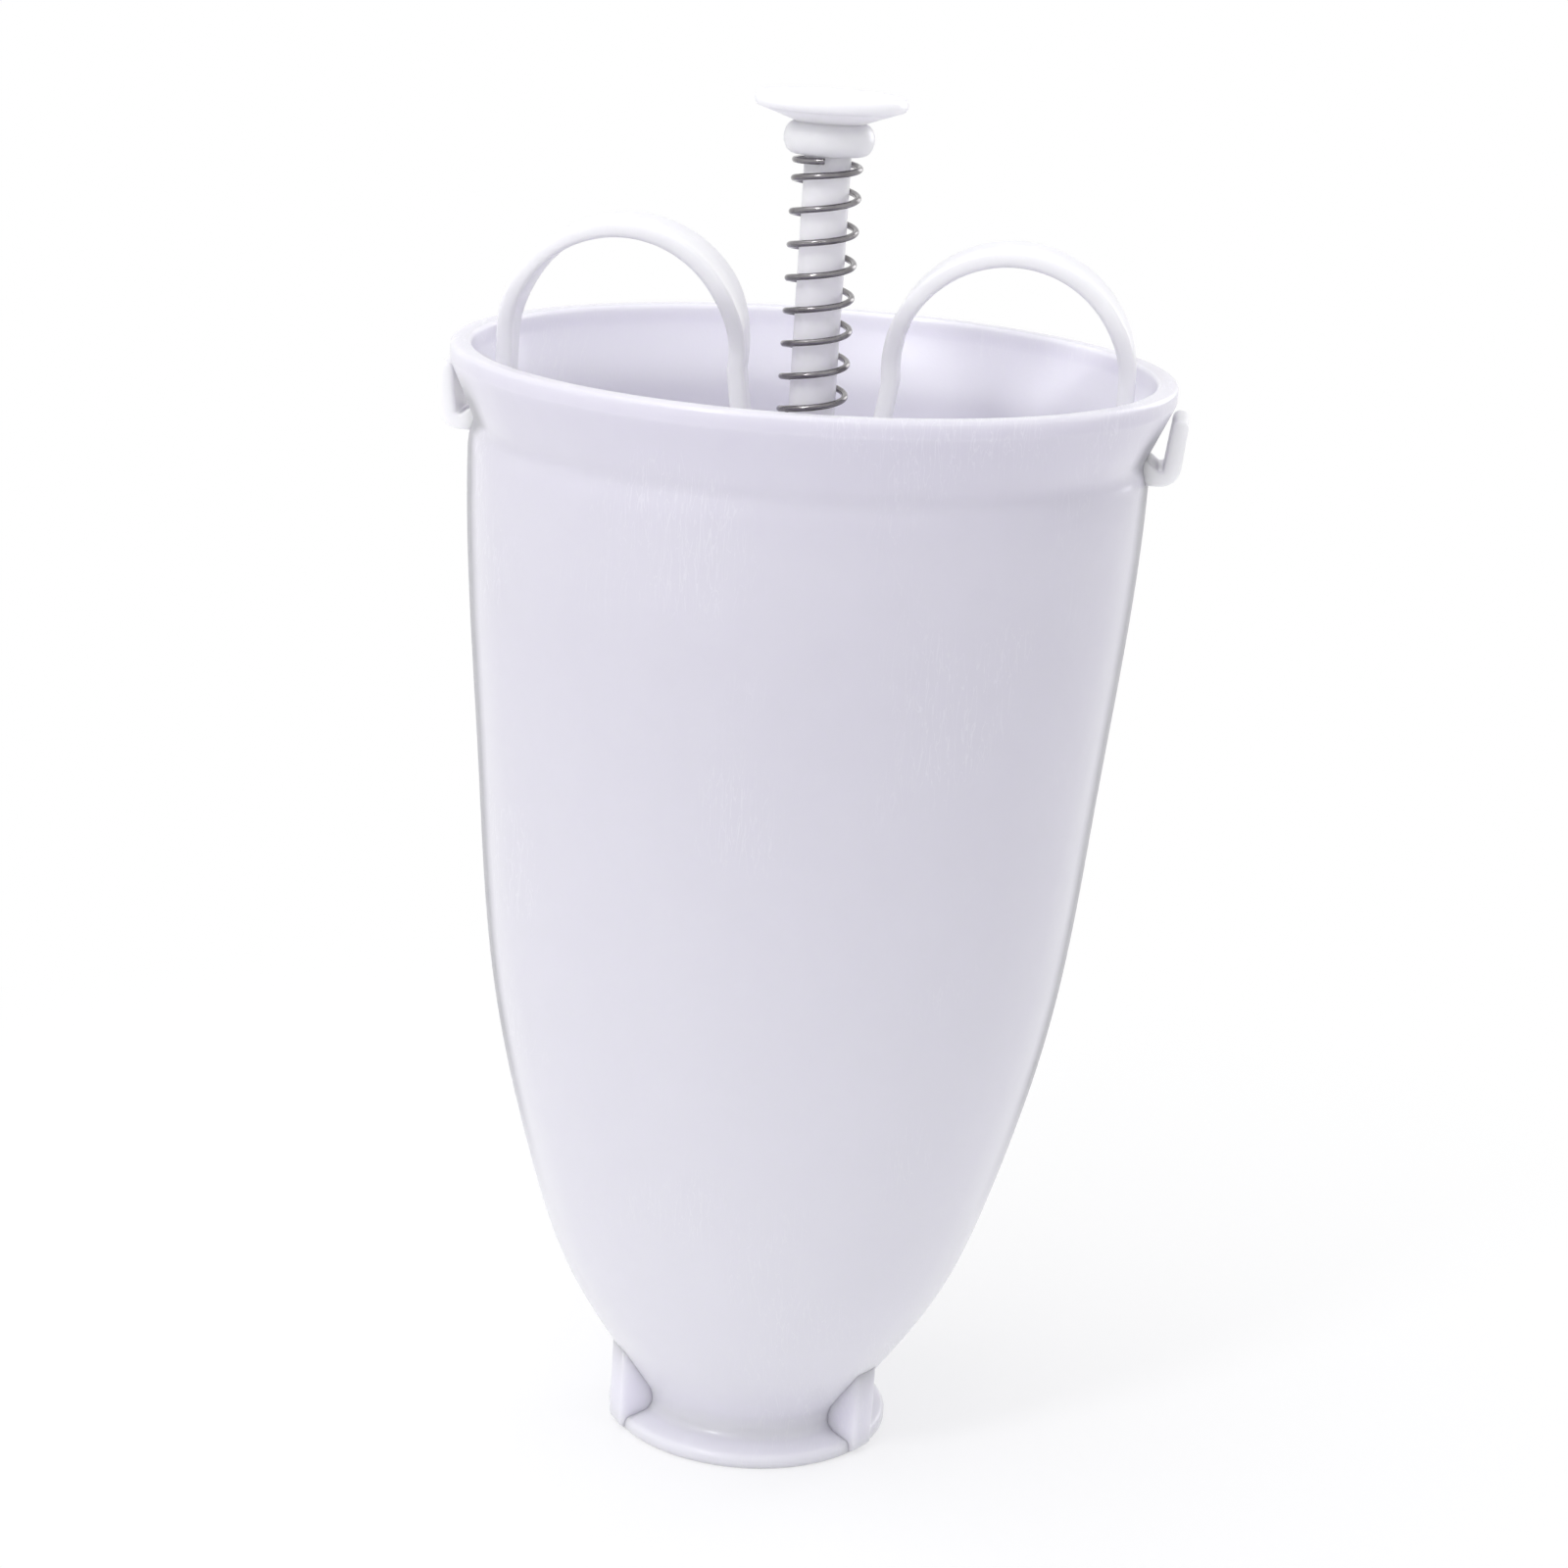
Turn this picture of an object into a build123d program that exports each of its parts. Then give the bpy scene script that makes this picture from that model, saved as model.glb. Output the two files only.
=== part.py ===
from build123d import *
from math import cos, floor, hypot, pi, radians, sin, sqrt, tan, tau
import os

# A hand-held batter dispenser. Millimetres, +Z up. The origin is the centre of the foot ring's
# underside, the rod and the spring stand on the Z axis, and the two finger loops lie along X.
# Its overall sizes are the rim's radius and height. An inset is measured inwards from the rim,
# a drop or a rise down or up from it, and a spread outwards from the part named before it.

# Collar and lip of the hopper
rim_radius = 50.0
rim_height = 158.7
lip_width = 2.9
lip_depth = 2.4
lip_rounding = 0.7
groove_inset = 3.75
groove_drop = 10.9
body_top_inset = 2.9
body_top_drop = 13.4
shoulder_drop = 12.2
collar_rounding = 0.5

# Wall of the hopper. Its outside passes four levels between the flare and the top, given as
# shares of the radius and the height at the top, and its inside is set off at shares of its length.
wall = 1.7
body_levels = [
    (0.606, 0.172),
    (0.72, 0.274),
    (0.858, 0.459),
    (0.934, 0.688),
]
flare_slope = (0.57, 0.82)
inside_shares = (0, 0.08, 0.18, 0.3, 0.45, 0.6, 0.75, 0.9, 1)

# Outlet neck, the flare over it, the foot ring and the three webs from it up the flare
bore_radius = 15.15
bore_height = 8.0
bore_rounding = 1.5
neck_wall = 1.35
neck_height = 6.0
neck_rounding = 1.6
flare_spread = 2.7
flare_height = 9.9
ring_spread = 4.1
ring_edge = 1.4
ring_height = 2.4
ring_rounding = 0.6
web_count = 3
web_thickness = 4.6
web_spread = 4.8
web_foot = 0.5
web_top = 13.4
web_rounding = 0.7

# Two J-shaped hooks on the outside
hook_width = 10.0
hook_spread = 1.9
hook_lean = 0.8
hook_thickness = 2.2
hook_top_drop = 4.1
hook_bottom_drop = 13.4
hook_bend = 2.4
hook_slot_width = 1.3
hook_gusset_rise = 2.3
slot_rounding = 0.3

# Strap that makes each finger loop, wide over the crown and narrow down the legs
strap_thickness = 2.35
inner_leg_x = 10.53
loop_wall_gap = 0.35
loop_centre_drop = 0.2
leg_lean = 8.0
crown_depth = 12.6
leg_depth = 5.8
leg_foot_depth = 4.4
crown_shoulder_rise = 7.3
leg_shoulder_rise = 1.9
leg_step_drop = 1.8
strap_rounding = 0.3

# Crossbar between the loops, with the guide for the rod, and the ledges it rests on
bar_drop = 12.3
bar_thickness = 3.0
bar_depth = 9.0
bar_wall_gap = 0.3
rib_thickness = 2.0
rib_depth = 4.0
rib_end_gap = 1.5
guide_spread = 2.8
guide_length = 12.0
ledge_reach = 2.2
ledge_width = 12.0
ledge_thickness = 2.0

# Rod, with the collar that stops it under the guide
rod_radius = 3.2
rod_clearance = 0.08
rod_foot = 6.0
rod_chamfer = 0.5
stop_spread = 1.4
stop_thickness = 2.0
stop_gap = 0.3

# Thumb button
button_rise = 35.6
button_radius = 10.4
button_edge = 2.0
edge_bulge = 0.7
dish_depth = 1.7
underside_drop = 3.8
bead_foot_drop = 8.1
bead_foot_spread = 1.5
bead_bulge = 1.5
socket_clearance = 0.05
socket_depth = 4.9

# Forming disc, the valve in the neck
disc_clearance = 0.3
disc_foot = 1.0
disc_edge = 3.2
disc_rounding = 0.5
hub_spread = 1.8
hub_top = 18.0
cone_top = 12.0
hollow_inset = 3.35
hollow_depth = 1.6

# Return spring, wound right-handed
wire_radius = 0.45
coil_gap = 0.8
coil_turns = 9.75
end_pitch = 1.4
end_turns = 0.5
ramp_turns = 0.75
spring_seat_gap = 0.15
spring_button_gap = 0.15
steps_per_turn = 4

# Radii and heights that follow
lip_inner_radius = rim_radius - lip_width
lip_bottom = rim_height - lip_depth
groove_radius = rim_radius - groove_inset
groove_height = rim_height - groove_drop
body_top_radius = rim_radius - body_top_inset
body_top_height = rim_height - body_top_drop
shoulder_height = rim_height - shoulder_drop
bead_inner_radius = groove_radius - wall
body_top_inner_radius = body_top_radius - wall
neck_radius = bore_radius + neck_wall
flare_radius = neck_radius + flare_spread
ring_radius = neck_radius + ring_spread
web_radius = neck_radius + web_spread
bar_top = rim_height - bar_drop
ledge_top = bar_top - bar_thickness
ledge_inner_radius = body_top_inner_radius - ledge_reach
guide_bottom = bar_top - guide_length
button_top = rim_height + button_rise
bead_foot = button_top - bead_foot_drop
rod_top = bead_foot + socket_depth
disc_radius = bore_radius - disc_clearance
coil_radius = rod_radius + coil_gap + wire_radius


# Hopper: the outside turned as one solid, then its webs and hooks, then the cavity taken out
with BuildPart() as hopper:
    with BuildSketch(Plane.XZ):
        with BuildLine():
            foot = FilletPolyline(
                (0, 0),
                (ring_radius, 0),
                (ring_radius, ring_edge),
                (neck_radius, ring_height),
                (neck_radius, neck_height),
                (flare_radius, flare_height),
                radius=(ring_rounding, ring_rounding, neck_rounding, neck_rounding),
            )
            body_side = Spline(
                foot @ 1,
                *[(body_top_radius * out, body_top_height * up) for out, up in body_levels],
                (body_top_radius, body_top_height),
                tangents=(flare_slope, (0, 1)),
                tangent_scalars=(1, 1),
            )
            collar = FilletPolyline(
                body_side @ 1,
                (body_top_radius, shoulder_height),
                (groove_radius, groove_height),
                (rim_radius, lip_bottom),
                (rim_radius, rim_height),
                (0, rim_height),
                radius=(collar_rounding, collar_rounding, collar_rounding, 0),
            )
            Line(collar @ 1, foot @ 0)
        make_face()
    revolve(axis=Axis.Z)

    with BuildSketch(Plane.XY.offset(web_foot)) as webs:
        with PolarLocations(0, web_count, start_angle=90):
            Rectangle(web_radius, web_thickness, align=(Align.MIN, Align.CENTER))
        outer_corners = [v for v in webs.vertices() if hypot(v.X, v.Y) > web_radius]
        fillet(outer_corners, web_rounding)
    extrude(amount=web_top - web_foot)

    hook_top = rim_height - hook_top_drop
    hook_bottom = rim_height - hook_bottom_drop
    hook_reach = rim_radius + hook_spread
    slot_bottom = hook_bottom + hook_thickness
    tongue_foot = hook_reach - hook_lean
    with BuildSketch(Plane.XZ):
        with BuildLine():
            FilletPolyline(
                (body_top_inner_radius, hook_bottom),
                (tongue_foot, hook_bottom),
                (hook_reach, hook_top),
                (hook_reach - hook_thickness, hook_top),
                (tongue_foot - hook_thickness, slot_bottom),
                (tongue_foot - hook_thickness - hook_slot_width / 2, slot_bottom),
                (groove_radius, slot_bottom + hook_gusset_rise),
                (body_top_inner_radius, slot_bottom + hook_gusset_rise),
                radius=(
                    0, hook_bend, lip_rounding, lip_rounding,
                    slot_rounding, slot_rounding, 0, 0,
                ),
                close=True,
            )
        make_face()
        mirror(about=Plane.YZ)
    extrude(amount=hook_width / 2, both=True)

    with BuildSketch(Plane.XZ):
        with BuildLine():
            wall_points = []
            for share in inside_shares:
                spot = body_side @ share
                way = body_side % share
                wall_points.append((spot.X - wall * way.Y, spot.Y + wall * way.X))
            funnel = FilletPolyline(
                (0, 0), (bore_radius, 0), (bore_radius, bore_height), wall_points[0],
                radius=(0, bore_rounding),
            )
            inner_side = Spline(
                *wall_points,
                tangents=(flare_slope, (0, 1)),
                tangent_scalars=(1, 1),
            )
            mouth = FilletPolyline(
                inner_side @ 1,
                (body_top_inner_radius, shoulder_height),
                (bead_inner_radius, groove_height),
                (lip_inner_radius, lip_bottom),
                (lip_inner_radius, rim_height),
                (0, rim_height),
                radius=(collar_rounding, collar_rounding, collar_rounding, 0),
            )
            Line(mouth @ 1, funnel @ 0)
        make_face()
    revolve(axis=Axis.Z, mode=Mode.SUBTRACT)
    rim_edges = hopper.edges().filter_by(GeomType.CIRCLE).group_by(Axis.Z)[-1]
    fillet(rim_edges, lip_rounding)

    with BuildSketch(Plane.XZ):
        with BuildLine():
            Polyline(
                (ledge_inner_radius, ledge_top),
                (body_top_inner_radius + wall / 2, ledge_top),
                (body_top_inner_radius + wall / 2, ledge_top - ledge_thickness - ledge_reach),
                (ledge_inner_radius, ledge_top - ledge_thickness),
                close=True,
            )
        make_face()
        mirror(about=Plane.YZ)
    extrude(amount=ledge_width / 2, both=True)
hopper.part.label = "hopper"


# Handle bridge: two finger loops on a crossbar, with the guide for the rod in its middle
with BuildPart() as handle_bridge:
    outer_leg_face = sqrt((bead_inner_radius - loop_wall_gap) ** 2 - (leg_depth / 2) ** 2)
    outer_leg_x = outer_leg_face - strap_thickness / 2
    loop_radius = (outer_leg_x - inner_leg_x) / 2
    loop_x = inner_leg_x + loop_radius
    loop_height = rim_height - loop_centre_drop
    bar_middle = bar_top - bar_thickness / 2
    lean = radians(leg_lean)
    lean_x = loop_x - loop_radius * cos(lean)
    lean_height = loop_height - loop_radius * sin(lean)
    leg_foot_x = lean_x - (lean_height - bar_middle) * tan(lean)
    with BuildSketch(Plane.XZ):
        with BuildLine():
            Line((leg_foot_x, bar_middle), (lean_x, lean_height))
            CenterArc((loop_x, loop_height), loop_radius, 0, 180 + leg_lean)
            Line((outer_leg_x, loop_height), (outer_leg_x, bar_middle))
        trace(line_width=strap_thickness)
        mirror(about=Plane.YZ)
    extrude(amount=crown_depth / 2, both=True)

    with BuildSketch(Plane.YZ):
        with BuildLine():
            Polyline(
                (0, ledge_top),
                (leg_foot_depth / 2, ledge_top),
                (leg_foot_depth / 2, rim_height - leg_step_drop),
                (leg_depth / 2, rim_height - leg_step_drop),
                (leg_depth / 2, rim_height + leg_shoulder_rise),
                (crown_depth / 2, rim_height + crown_shoulder_rise),
                (crown_depth / 2, button_top),
                (0, button_top),
                close=True,
            )
        make_face()
        mirror(about=Plane.YZ)
    extrude(amount=rim_radius, both=True, mode=Mode.INTERSECT)
    edges_over_bar = [edge for edge in handle_bridge.edges() if edge.center().Z > bar_top]
    fillet(edges_over_bar, strap_rounding)

    with BuildSketch(Plane.XY.offset(ledge_top)):
        Circle(body_top_inner_radius - bar_wall_gap)
        Rectangle(2 * rim_radius, bar_depth, mode=Mode.INTERSECT)
    extrude(amount=bar_thickness)
    with BuildSketch(Plane.XY.offset(ledge_top)):
        Rectangle(2 * (ledge_inner_radius - rib_end_gap), rib_thickness)
    extrude(amount=-rib_depth)
    with BuildSketch(Plane.XY.offset(guide_bottom)):
        Circle(rod_radius + guide_spread)
    extrude(amount=guide_length)
    with BuildSketch(Plane.XY.offset(guide_bottom)):
        Circle(rod_radius + rod_clearance)
    extrude(amount=guide_length, mode=Mode.SUBTRACT)
handle_bridge.part.label = "handle_bridge"


# Plunger rod, with its stop collar
with BuildPart() as plunger_rod:
    with BuildSketch(Plane.XY.offset(rod_foot)):
        Circle(rod_radius)
    extrude(amount=rod_top - rod_foot)
    end_edges = plunger_rod.edges().group_by(Axis.Z)[0] + plunger_rod.edges().group_by(Axis.Z)[-1]
    chamfer(end_edges, rod_chamfer)
    with BuildSketch(Plane.XY.offset(guide_bottom - stop_gap)):
        Circle(rod_radius + stop_spread)
    extrude(amount=-stop_thickness)
plunger_rod.part.label = "plunger_rod"


# Thumb button: a dished saucer on a round bead, with the socket for the rod
with BuildPart() as thumb_button:
    socket_radius = rod_radius + socket_clearance
    dish_radius = button_radius - edge_bulge
    dish_curve = (dish_radius**2 + dish_depth**2) / (2 * dish_depth)
    underside_height = button_top - underside_drop
    bead_middle = (bead_foot + underside_height) / 2
    bead_foot_radius = rod_radius + bead_foot_spread
    with BuildSketch(Plane.XZ):
        with BuildLine():
            Polyline(
                (0, button_top - dish_depth),
                (0, rod_top),
                (socket_radius, rod_top),
                (socket_radius, bead_foot),
                (bead_foot_radius, bead_foot),
            )
            ThreePointArc(
                (bead_foot_radius, bead_foot),
                (bead_foot_radius + bead_bulge, bead_middle),
                (bead_foot_radius, underside_height),
            )
            Line((bead_foot_radius, underside_height), (dish_radius, button_top - button_edge))
            ThreePointArc(
                (dish_radius, button_top - button_edge),
                (button_radius, button_top - button_edge / 2),
                (dish_radius, button_top),
            )
            RadiusArc((0, button_top - dish_depth), (dish_radius, button_top), dish_curve)
        make_face()
    revolve(axis=Axis.Z)
thumb_button.part.label = "thumb_button"


# Forming disc: a cone on a hub, hollow underneath, that closes the neck
with BuildPart() as forming_disc:
    hollow_radius = disc_radius - hollow_inset
    hub_radius = rod_radius + hub_spread
    with BuildSketch(Plane.XZ):
        with BuildLine():
            FilletPolyline(
                (0, disc_foot + hollow_depth),
                (hollow_radius, disc_foot + hollow_depth),
                (hollow_radius, disc_foot),
                (disc_radius, disc_foot),
                (disc_radius, disc_foot + disc_edge),
                (hub_radius, cone_top),
                (hub_radius, hub_top),
                (rod_radius + socket_clearance, hub_top),
                (rod_radius + socket_clearance, rod_foot),
                (0, rod_foot),
                radius=(
                    disc_rounding, disc_rounding, disc_rounding, disc_rounding,
                    neck_rounding, disc_rounding, 0, 0,
                ),
            )
            Line((0, rod_foot), (0, disc_foot + hollow_depth))
        make_face()
    revolve(axis=Axis.Z)
forming_disc.part.label = "forming_disc"


# Return spring: the height of the wire's centre after a number of turns. Its pitch is small over
# each end's last half turn, then grows evenly to the pitch of the open coils.
coil_bottom = bar_top + spring_seat_gap + wire_radius
coil_top = bead_foot - spring_button_gap - wire_radius
closed_rise = 2 * end_turns * end_pitch + ramp_turns * end_pitch
open_turns = coil_turns - 2 * end_turns - ramp_turns
open_pitch = (coil_top - coil_bottom - closed_rise) / open_turns


def rise_from_end(turns):
    """Height of the wire above an end of the coil, for turns counted from that end."""
    ramp = min(max(turns - end_turns, 0), ramp_turns)
    beyond = max(turns - end_turns - ramp_turns, 0)
    ramp_rise = end_pitch * ramp + (open_pitch - end_pitch) * ramp**2 / (2 * ramp_turns)
    return end_pitch * min(turns, end_turns) + ramp_rise + open_pitch * beyond


def coil_point(turns):
    """Point on the wire's centre line after so many turns from the bottom."""
    if turns <= coil_turns / 2:
        height = coil_bottom + rise_from_end(turns)
    else:
        height = coil_top - rise_from_end(coil_turns - turns)
    angle = tau * turns
    return Vector(coil_radius * cos(angle), coil_radius * sin(angle), height)


def coil_direction(turns):
    """Unit direction of the wire there, with its slope from the pitch at that level."""
    from_end = min(turns, coil_turns - turns)
    ramp = min(max(from_end - end_turns, 0), ramp_turns) / ramp_turns
    slope = (end_pitch + (open_pitch - end_pitch) * ramp) / tau
    angle = tau * turns
    return Vector(-coil_radius * sin(angle), coil_radius * cos(angle), slope).normalized()


def biarc(start, start_way, end, end_way):
    """Two arcs that leave start and reach end in the given directions and meet smoothly."""
    chord = end - start
    ways = start_way + end_way
    spread = 2 * (1 - start_way.dot(end_way))
    reach = (sqrt(chord.dot(ways) ** 2 + spread * chord.dot(chord)) - chord.dot(ways)) / spread
    meeting = (start + start_way * reach + end - end_way * reach) * 0.5
    first = TangentArc(start, meeting, tangent=start_way)
    TangentArc(meeting, end, tangent=first % 1)


with BuildPart() as return_spring:
    with BuildLine() as coil_line:
        steps = round(coil_turns * steps_per_turn)
        marks = [coil_turns * step / steps for step in range(steps + 1)]
        for low, high in zip(marks, marks[1:]):
            biarc(coil_point(low), coil_direction(low), coil_point(high), coil_direction(high))
    with BuildSketch(Plane(coil_point(0), z_dir=coil_direction(0))):
        Circle(wire_radius)
    sweep(path=coil_line.wire())
return_spring.part.label = "return_spring"


# The coil's least gap to itself, between points of the centre line at least half a turn apart
samples_per_turn = 48
coil_samples = [coil_point(n / samples_per_turn) for n in range(floor(coil_turns * samples_per_turn))]
coil_gap_found = min(
    (second - first).length - 2 * wire_radius
    for index, first in enumerate(coil_samples)
    for second in coil_samples[index + samples_per_turn // 2 :]
)
wire_length = coil_line.wire().length
tube_share = return_spring.part.volume / (pi * wire_radius**2 * wire_length)
print(f"spring: open pitch {open_pitch:.2f}, least gap {coil_gap_found:.2f}, wire {wire_length:.1f}")
print(f"spring: volume is {tube_share:.4f} of section times length")

os.makedirs("parts", exist_ok=True)
for piece in (hopper, handle_bridge, plunger_rod, thumb_button, forming_disc, return_spring):
    export_step(piece.part, f"parts/{piece.part.label}.step")
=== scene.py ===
"""Looks of a hand-held batter dispenser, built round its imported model.

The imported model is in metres, +Z up, with its origin under the foot ring. The sizes of the pieces
are in millimetres, as on the maker's drawing, and become metres where a mesh is made. The finishes'
sizes and the places of the lamps and the camera are in metres.
"""

from __future__ import annotations

import logging
import math
from dataclasses import dataclass
from enum import Enum

import bmesh
import bpy
import numpy as np
from mathutils import Matrix, Vector

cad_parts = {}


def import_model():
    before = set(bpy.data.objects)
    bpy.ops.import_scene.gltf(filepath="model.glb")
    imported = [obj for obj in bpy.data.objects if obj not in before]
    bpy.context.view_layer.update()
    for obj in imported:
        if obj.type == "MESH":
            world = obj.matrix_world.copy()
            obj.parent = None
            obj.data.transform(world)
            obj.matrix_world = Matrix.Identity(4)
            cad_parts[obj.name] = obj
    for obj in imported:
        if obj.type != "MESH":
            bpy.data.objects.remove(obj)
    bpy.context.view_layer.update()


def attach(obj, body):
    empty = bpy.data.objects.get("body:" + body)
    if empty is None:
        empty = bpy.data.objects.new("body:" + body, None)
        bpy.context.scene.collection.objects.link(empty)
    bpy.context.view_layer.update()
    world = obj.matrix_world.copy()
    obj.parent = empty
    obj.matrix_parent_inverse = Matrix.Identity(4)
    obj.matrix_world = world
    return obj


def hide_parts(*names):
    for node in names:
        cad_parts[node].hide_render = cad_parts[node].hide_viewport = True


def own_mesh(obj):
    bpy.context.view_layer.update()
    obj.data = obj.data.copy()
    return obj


MM = 0.001
HOPPER_BODY = "hopper_body"
PLUNGER_BODY = "plunger"

# Heights that more than one sub-assembly goes by, in millimetres: the lip's top, the top of the
# crossbar that the spring stands on, and the underside of the button's bead that it pushes on.
RIM_HEIGHT = 158.7
BAR_TOP = 146.4
BEAD_FOOT = 186.2

# A flat side keeps a point this many roundings before its corner, and this many rims inside a
# slab's edge, so that its shading stays flat up to there.
FLAT_GUARD = 0.3
RIM_GUARD = 0.4
# Points nearer to each other than these many metres become one, in mesh code and in a node tree.
SAME_POINT = 1e-7
SAME_SEAM = 1e-6
# How the node editor lays out a tree's nodes, in its own units.
NODE_COLUMN, NODE_DROP, NODE_ROWS = 180, 40, 5

log = logging.getLogger("batter_dispenser")

Point = tuple[float, float]
Span = tuple[float, float]
Place = tuple[float, float, float]
Colour = tuple[float, float, float, float]

WHITE: Colour = (1.0, 1.0, 1.0, 1.0)


class Slot(Enum):
    """Material slots of the record that the pieces take their finish from."""

    HOPPER = "hopper_plastic"
    HANDLE = "handle_plastic"
    PLUNGER = "plunger_plastic"
    SPRING = "spring_steel"


class Plane(Enum):
    """Plane that a slab's outline is drawn in; the slab's width runs across it."""

    UPRIGHT = "xz"
    LEVEL = "xy"


class Socket(Enum):
    """Kinds of sockets that a node group can have."""

    VALUE = "NodeSocketFloat"
    COUNT = "NodeSocketInt"
    SWITCH = "NodeSocketBool"
    VECTOR = "NodeSocketVector"
    GEOMETRY = "NodeSocketGeometry"
    MATERIAL = "NodeSocketMaterial"


@dataclass(frozen=True)
class Corner:
    """One corner of an outline, in millimetres, with the radius that rounds it."""

    out: float
    up: float
    rounding: float = 0.0


# ---------------------------------------------------------------------------------------------
# Outlines and meshes
# ---------------------------------------------------------------------------------------------


def curve_through(points: list[Point], start_way: Point, end_way: Point, steps: int) -> list[Point]:
    """Smooth curve through points, with its direction given at both ends.

    Args:
        points: The points that the curve passes, in order.
        start_way: Unit direction at the first point.
        end_way: Unit direction at the last point.
        steps: How many steps the curve takes from one point to the next.

    Returns:
        The points along the curve, the first and the last included.
    """
    spots = np.array(points, float)
    spans = np.linalg.norm(np.diff(spots, axis=0), axis=1)
    count = len(spots)
    system = np.zeros((count, count))
    known = np.zeros((count, 2))
    system[0, 0] = system[-1, -1] = 1.0
    known[0], known[-1] = start_way, end_way
    for i in range(1, count - 1):
        before, after = spans[i - 1], spans[i]
        system[i, i - 1 : i + 2] = after, 2.0 * (before + after), before
        back, ahead = spots[i] - spots[i - 1], spots[i + 1] - spots[i]
        known[i] = 3.0 * (after * back / before + before * ahead / after)
    slopes = np.linalg.solve(system, known)
    line = [tuple(spots[0])]
    for i, span in enumerate(spans):
        for step in range(1, steps + 1):
            t = step / steps
            spot = (
                (2 * t**3 - 3 * t**2 + 1) * spots[i]
                + (t**3 - 2 * t**2 + t) * span * slopes[i]
                + (3 * t**2 - 2 * t**3) * spots[i + 1]
                + (t**3 - t**2) * span * slopes[i + 1]
            )
            line.append((float(spot[0]), float(spot[1])))
    return line


def eased(value: float, low: float, high: float) -> float:
    """Share from 0 at low to 1 at high that starts and ends softly."""
    t = min(max((value - low) / (high - low), 0.0), 1.0)
    return t * t * (3.0 - 2.0 * t)


def set_off(line: list[Point], distance: float) -> list[Point]:
    """Line moved sideways to its left.

    Args:
        line: Points of an open line.
        distance: How far the line moves, along its own normal at each point.

    Returns:
        The moved points, one for each of the old.
    """
    spots = np.array(line, float)
    ways = np.gradient(spots, axis=0)
    ways /= np.linalg.norm(ways, axis=1)[:, None]
    moved = spots + distance * np.stack([-ways[:, 1], ways[:, 0]], axis=1)
    return [(float(x), float(y)) for x, y in moved]


def rounded_outline(
    corners: list[Corner], closed: bool = True, degrees_per_step: float = 15.0
) -> list[Point]:
    """Outline with an arc at each rounded corner and a guard point on both sides of the arc.

    Args:
        corners: Corners in order; one with no rounding stays as a point.
        closed: Whether the last corner joins the first.
        degrees_per_step: How far each step of an arc turns.

    Returns:
        The points of the outline.
    """
    line: list[Point] = []
    count = len(corners)
    for i, corner in enumerate(corners):
        here = Vector((corner.out, corner.up))
        if corner.rounding <= 0 or (not closed and i in (0, count - 1)):
            line.append(tuple(here))
            continue
        neighbours = corners[i - 1], corners[(i + 1) % count]
        back, ahead = (Vector((other.out, other.up)) - here for other in neighbours)
        room_back, room_ahead = 0.5 * back.length, 0.5 * ahead.length
        back.normalize()
        ahead.normalize()
        half = back.angle(ahead) / 2
        reach = corner.rounding / math.tan(half)
        guard = reach + FLAT_GUARD * corner.rounding
        if guard < room_back:
            line.append(tuple(here + back * guard))
        centre = here + (back + ahead).normalized() * (corner.rounding / math.sin(half))
        first = here + back * reach - centre
        turn = math.pi - 2 * half
        side = 1.0 if back.x * ahead.y - back.y * ahead.x < 0 else -1.0
        steps = max(2, math.ceil(math.degrees(turn) / degrees_per_step))
        for step in range(steps + 1):
            angle = side * turn * step / steps
            c, s = math.cos(angle), math.sin(angle)
            line.append(
                (centre.x + c * first.x - s * first.y, centre.y + s * first.x + c * first.y)
            )
        if guard < room_ahead:
            line.append(tuple(here + ahead * guard))
    return line


def facing_outwards(mesh: bpy.types.Mesh) -> bpy.types.Mesh:
    """Merges a closed mesh's doubles and turns its faces outwards.

    Args:
        mesh: A mesh of one or more closed shells.

    Returns:
        The same mesh.
    """
    work = bmesh.new()
    work.from_mesh(mesh)
    bmesh.ops.remove_doubles(work, verts=work.verts, dist=SAME_POINT)
    bmesh.ops.recalc_face_normals(work, faces=work.faces)
    if work.calc_volume(signed=True) < 0:
        bmesh.ops.reverse_faces(work, faces=work.faces)
    work.to_mesh(mesh)
    work.free()
    mesh.shade_smooth()
    mesh.update()
    return mesh


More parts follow.
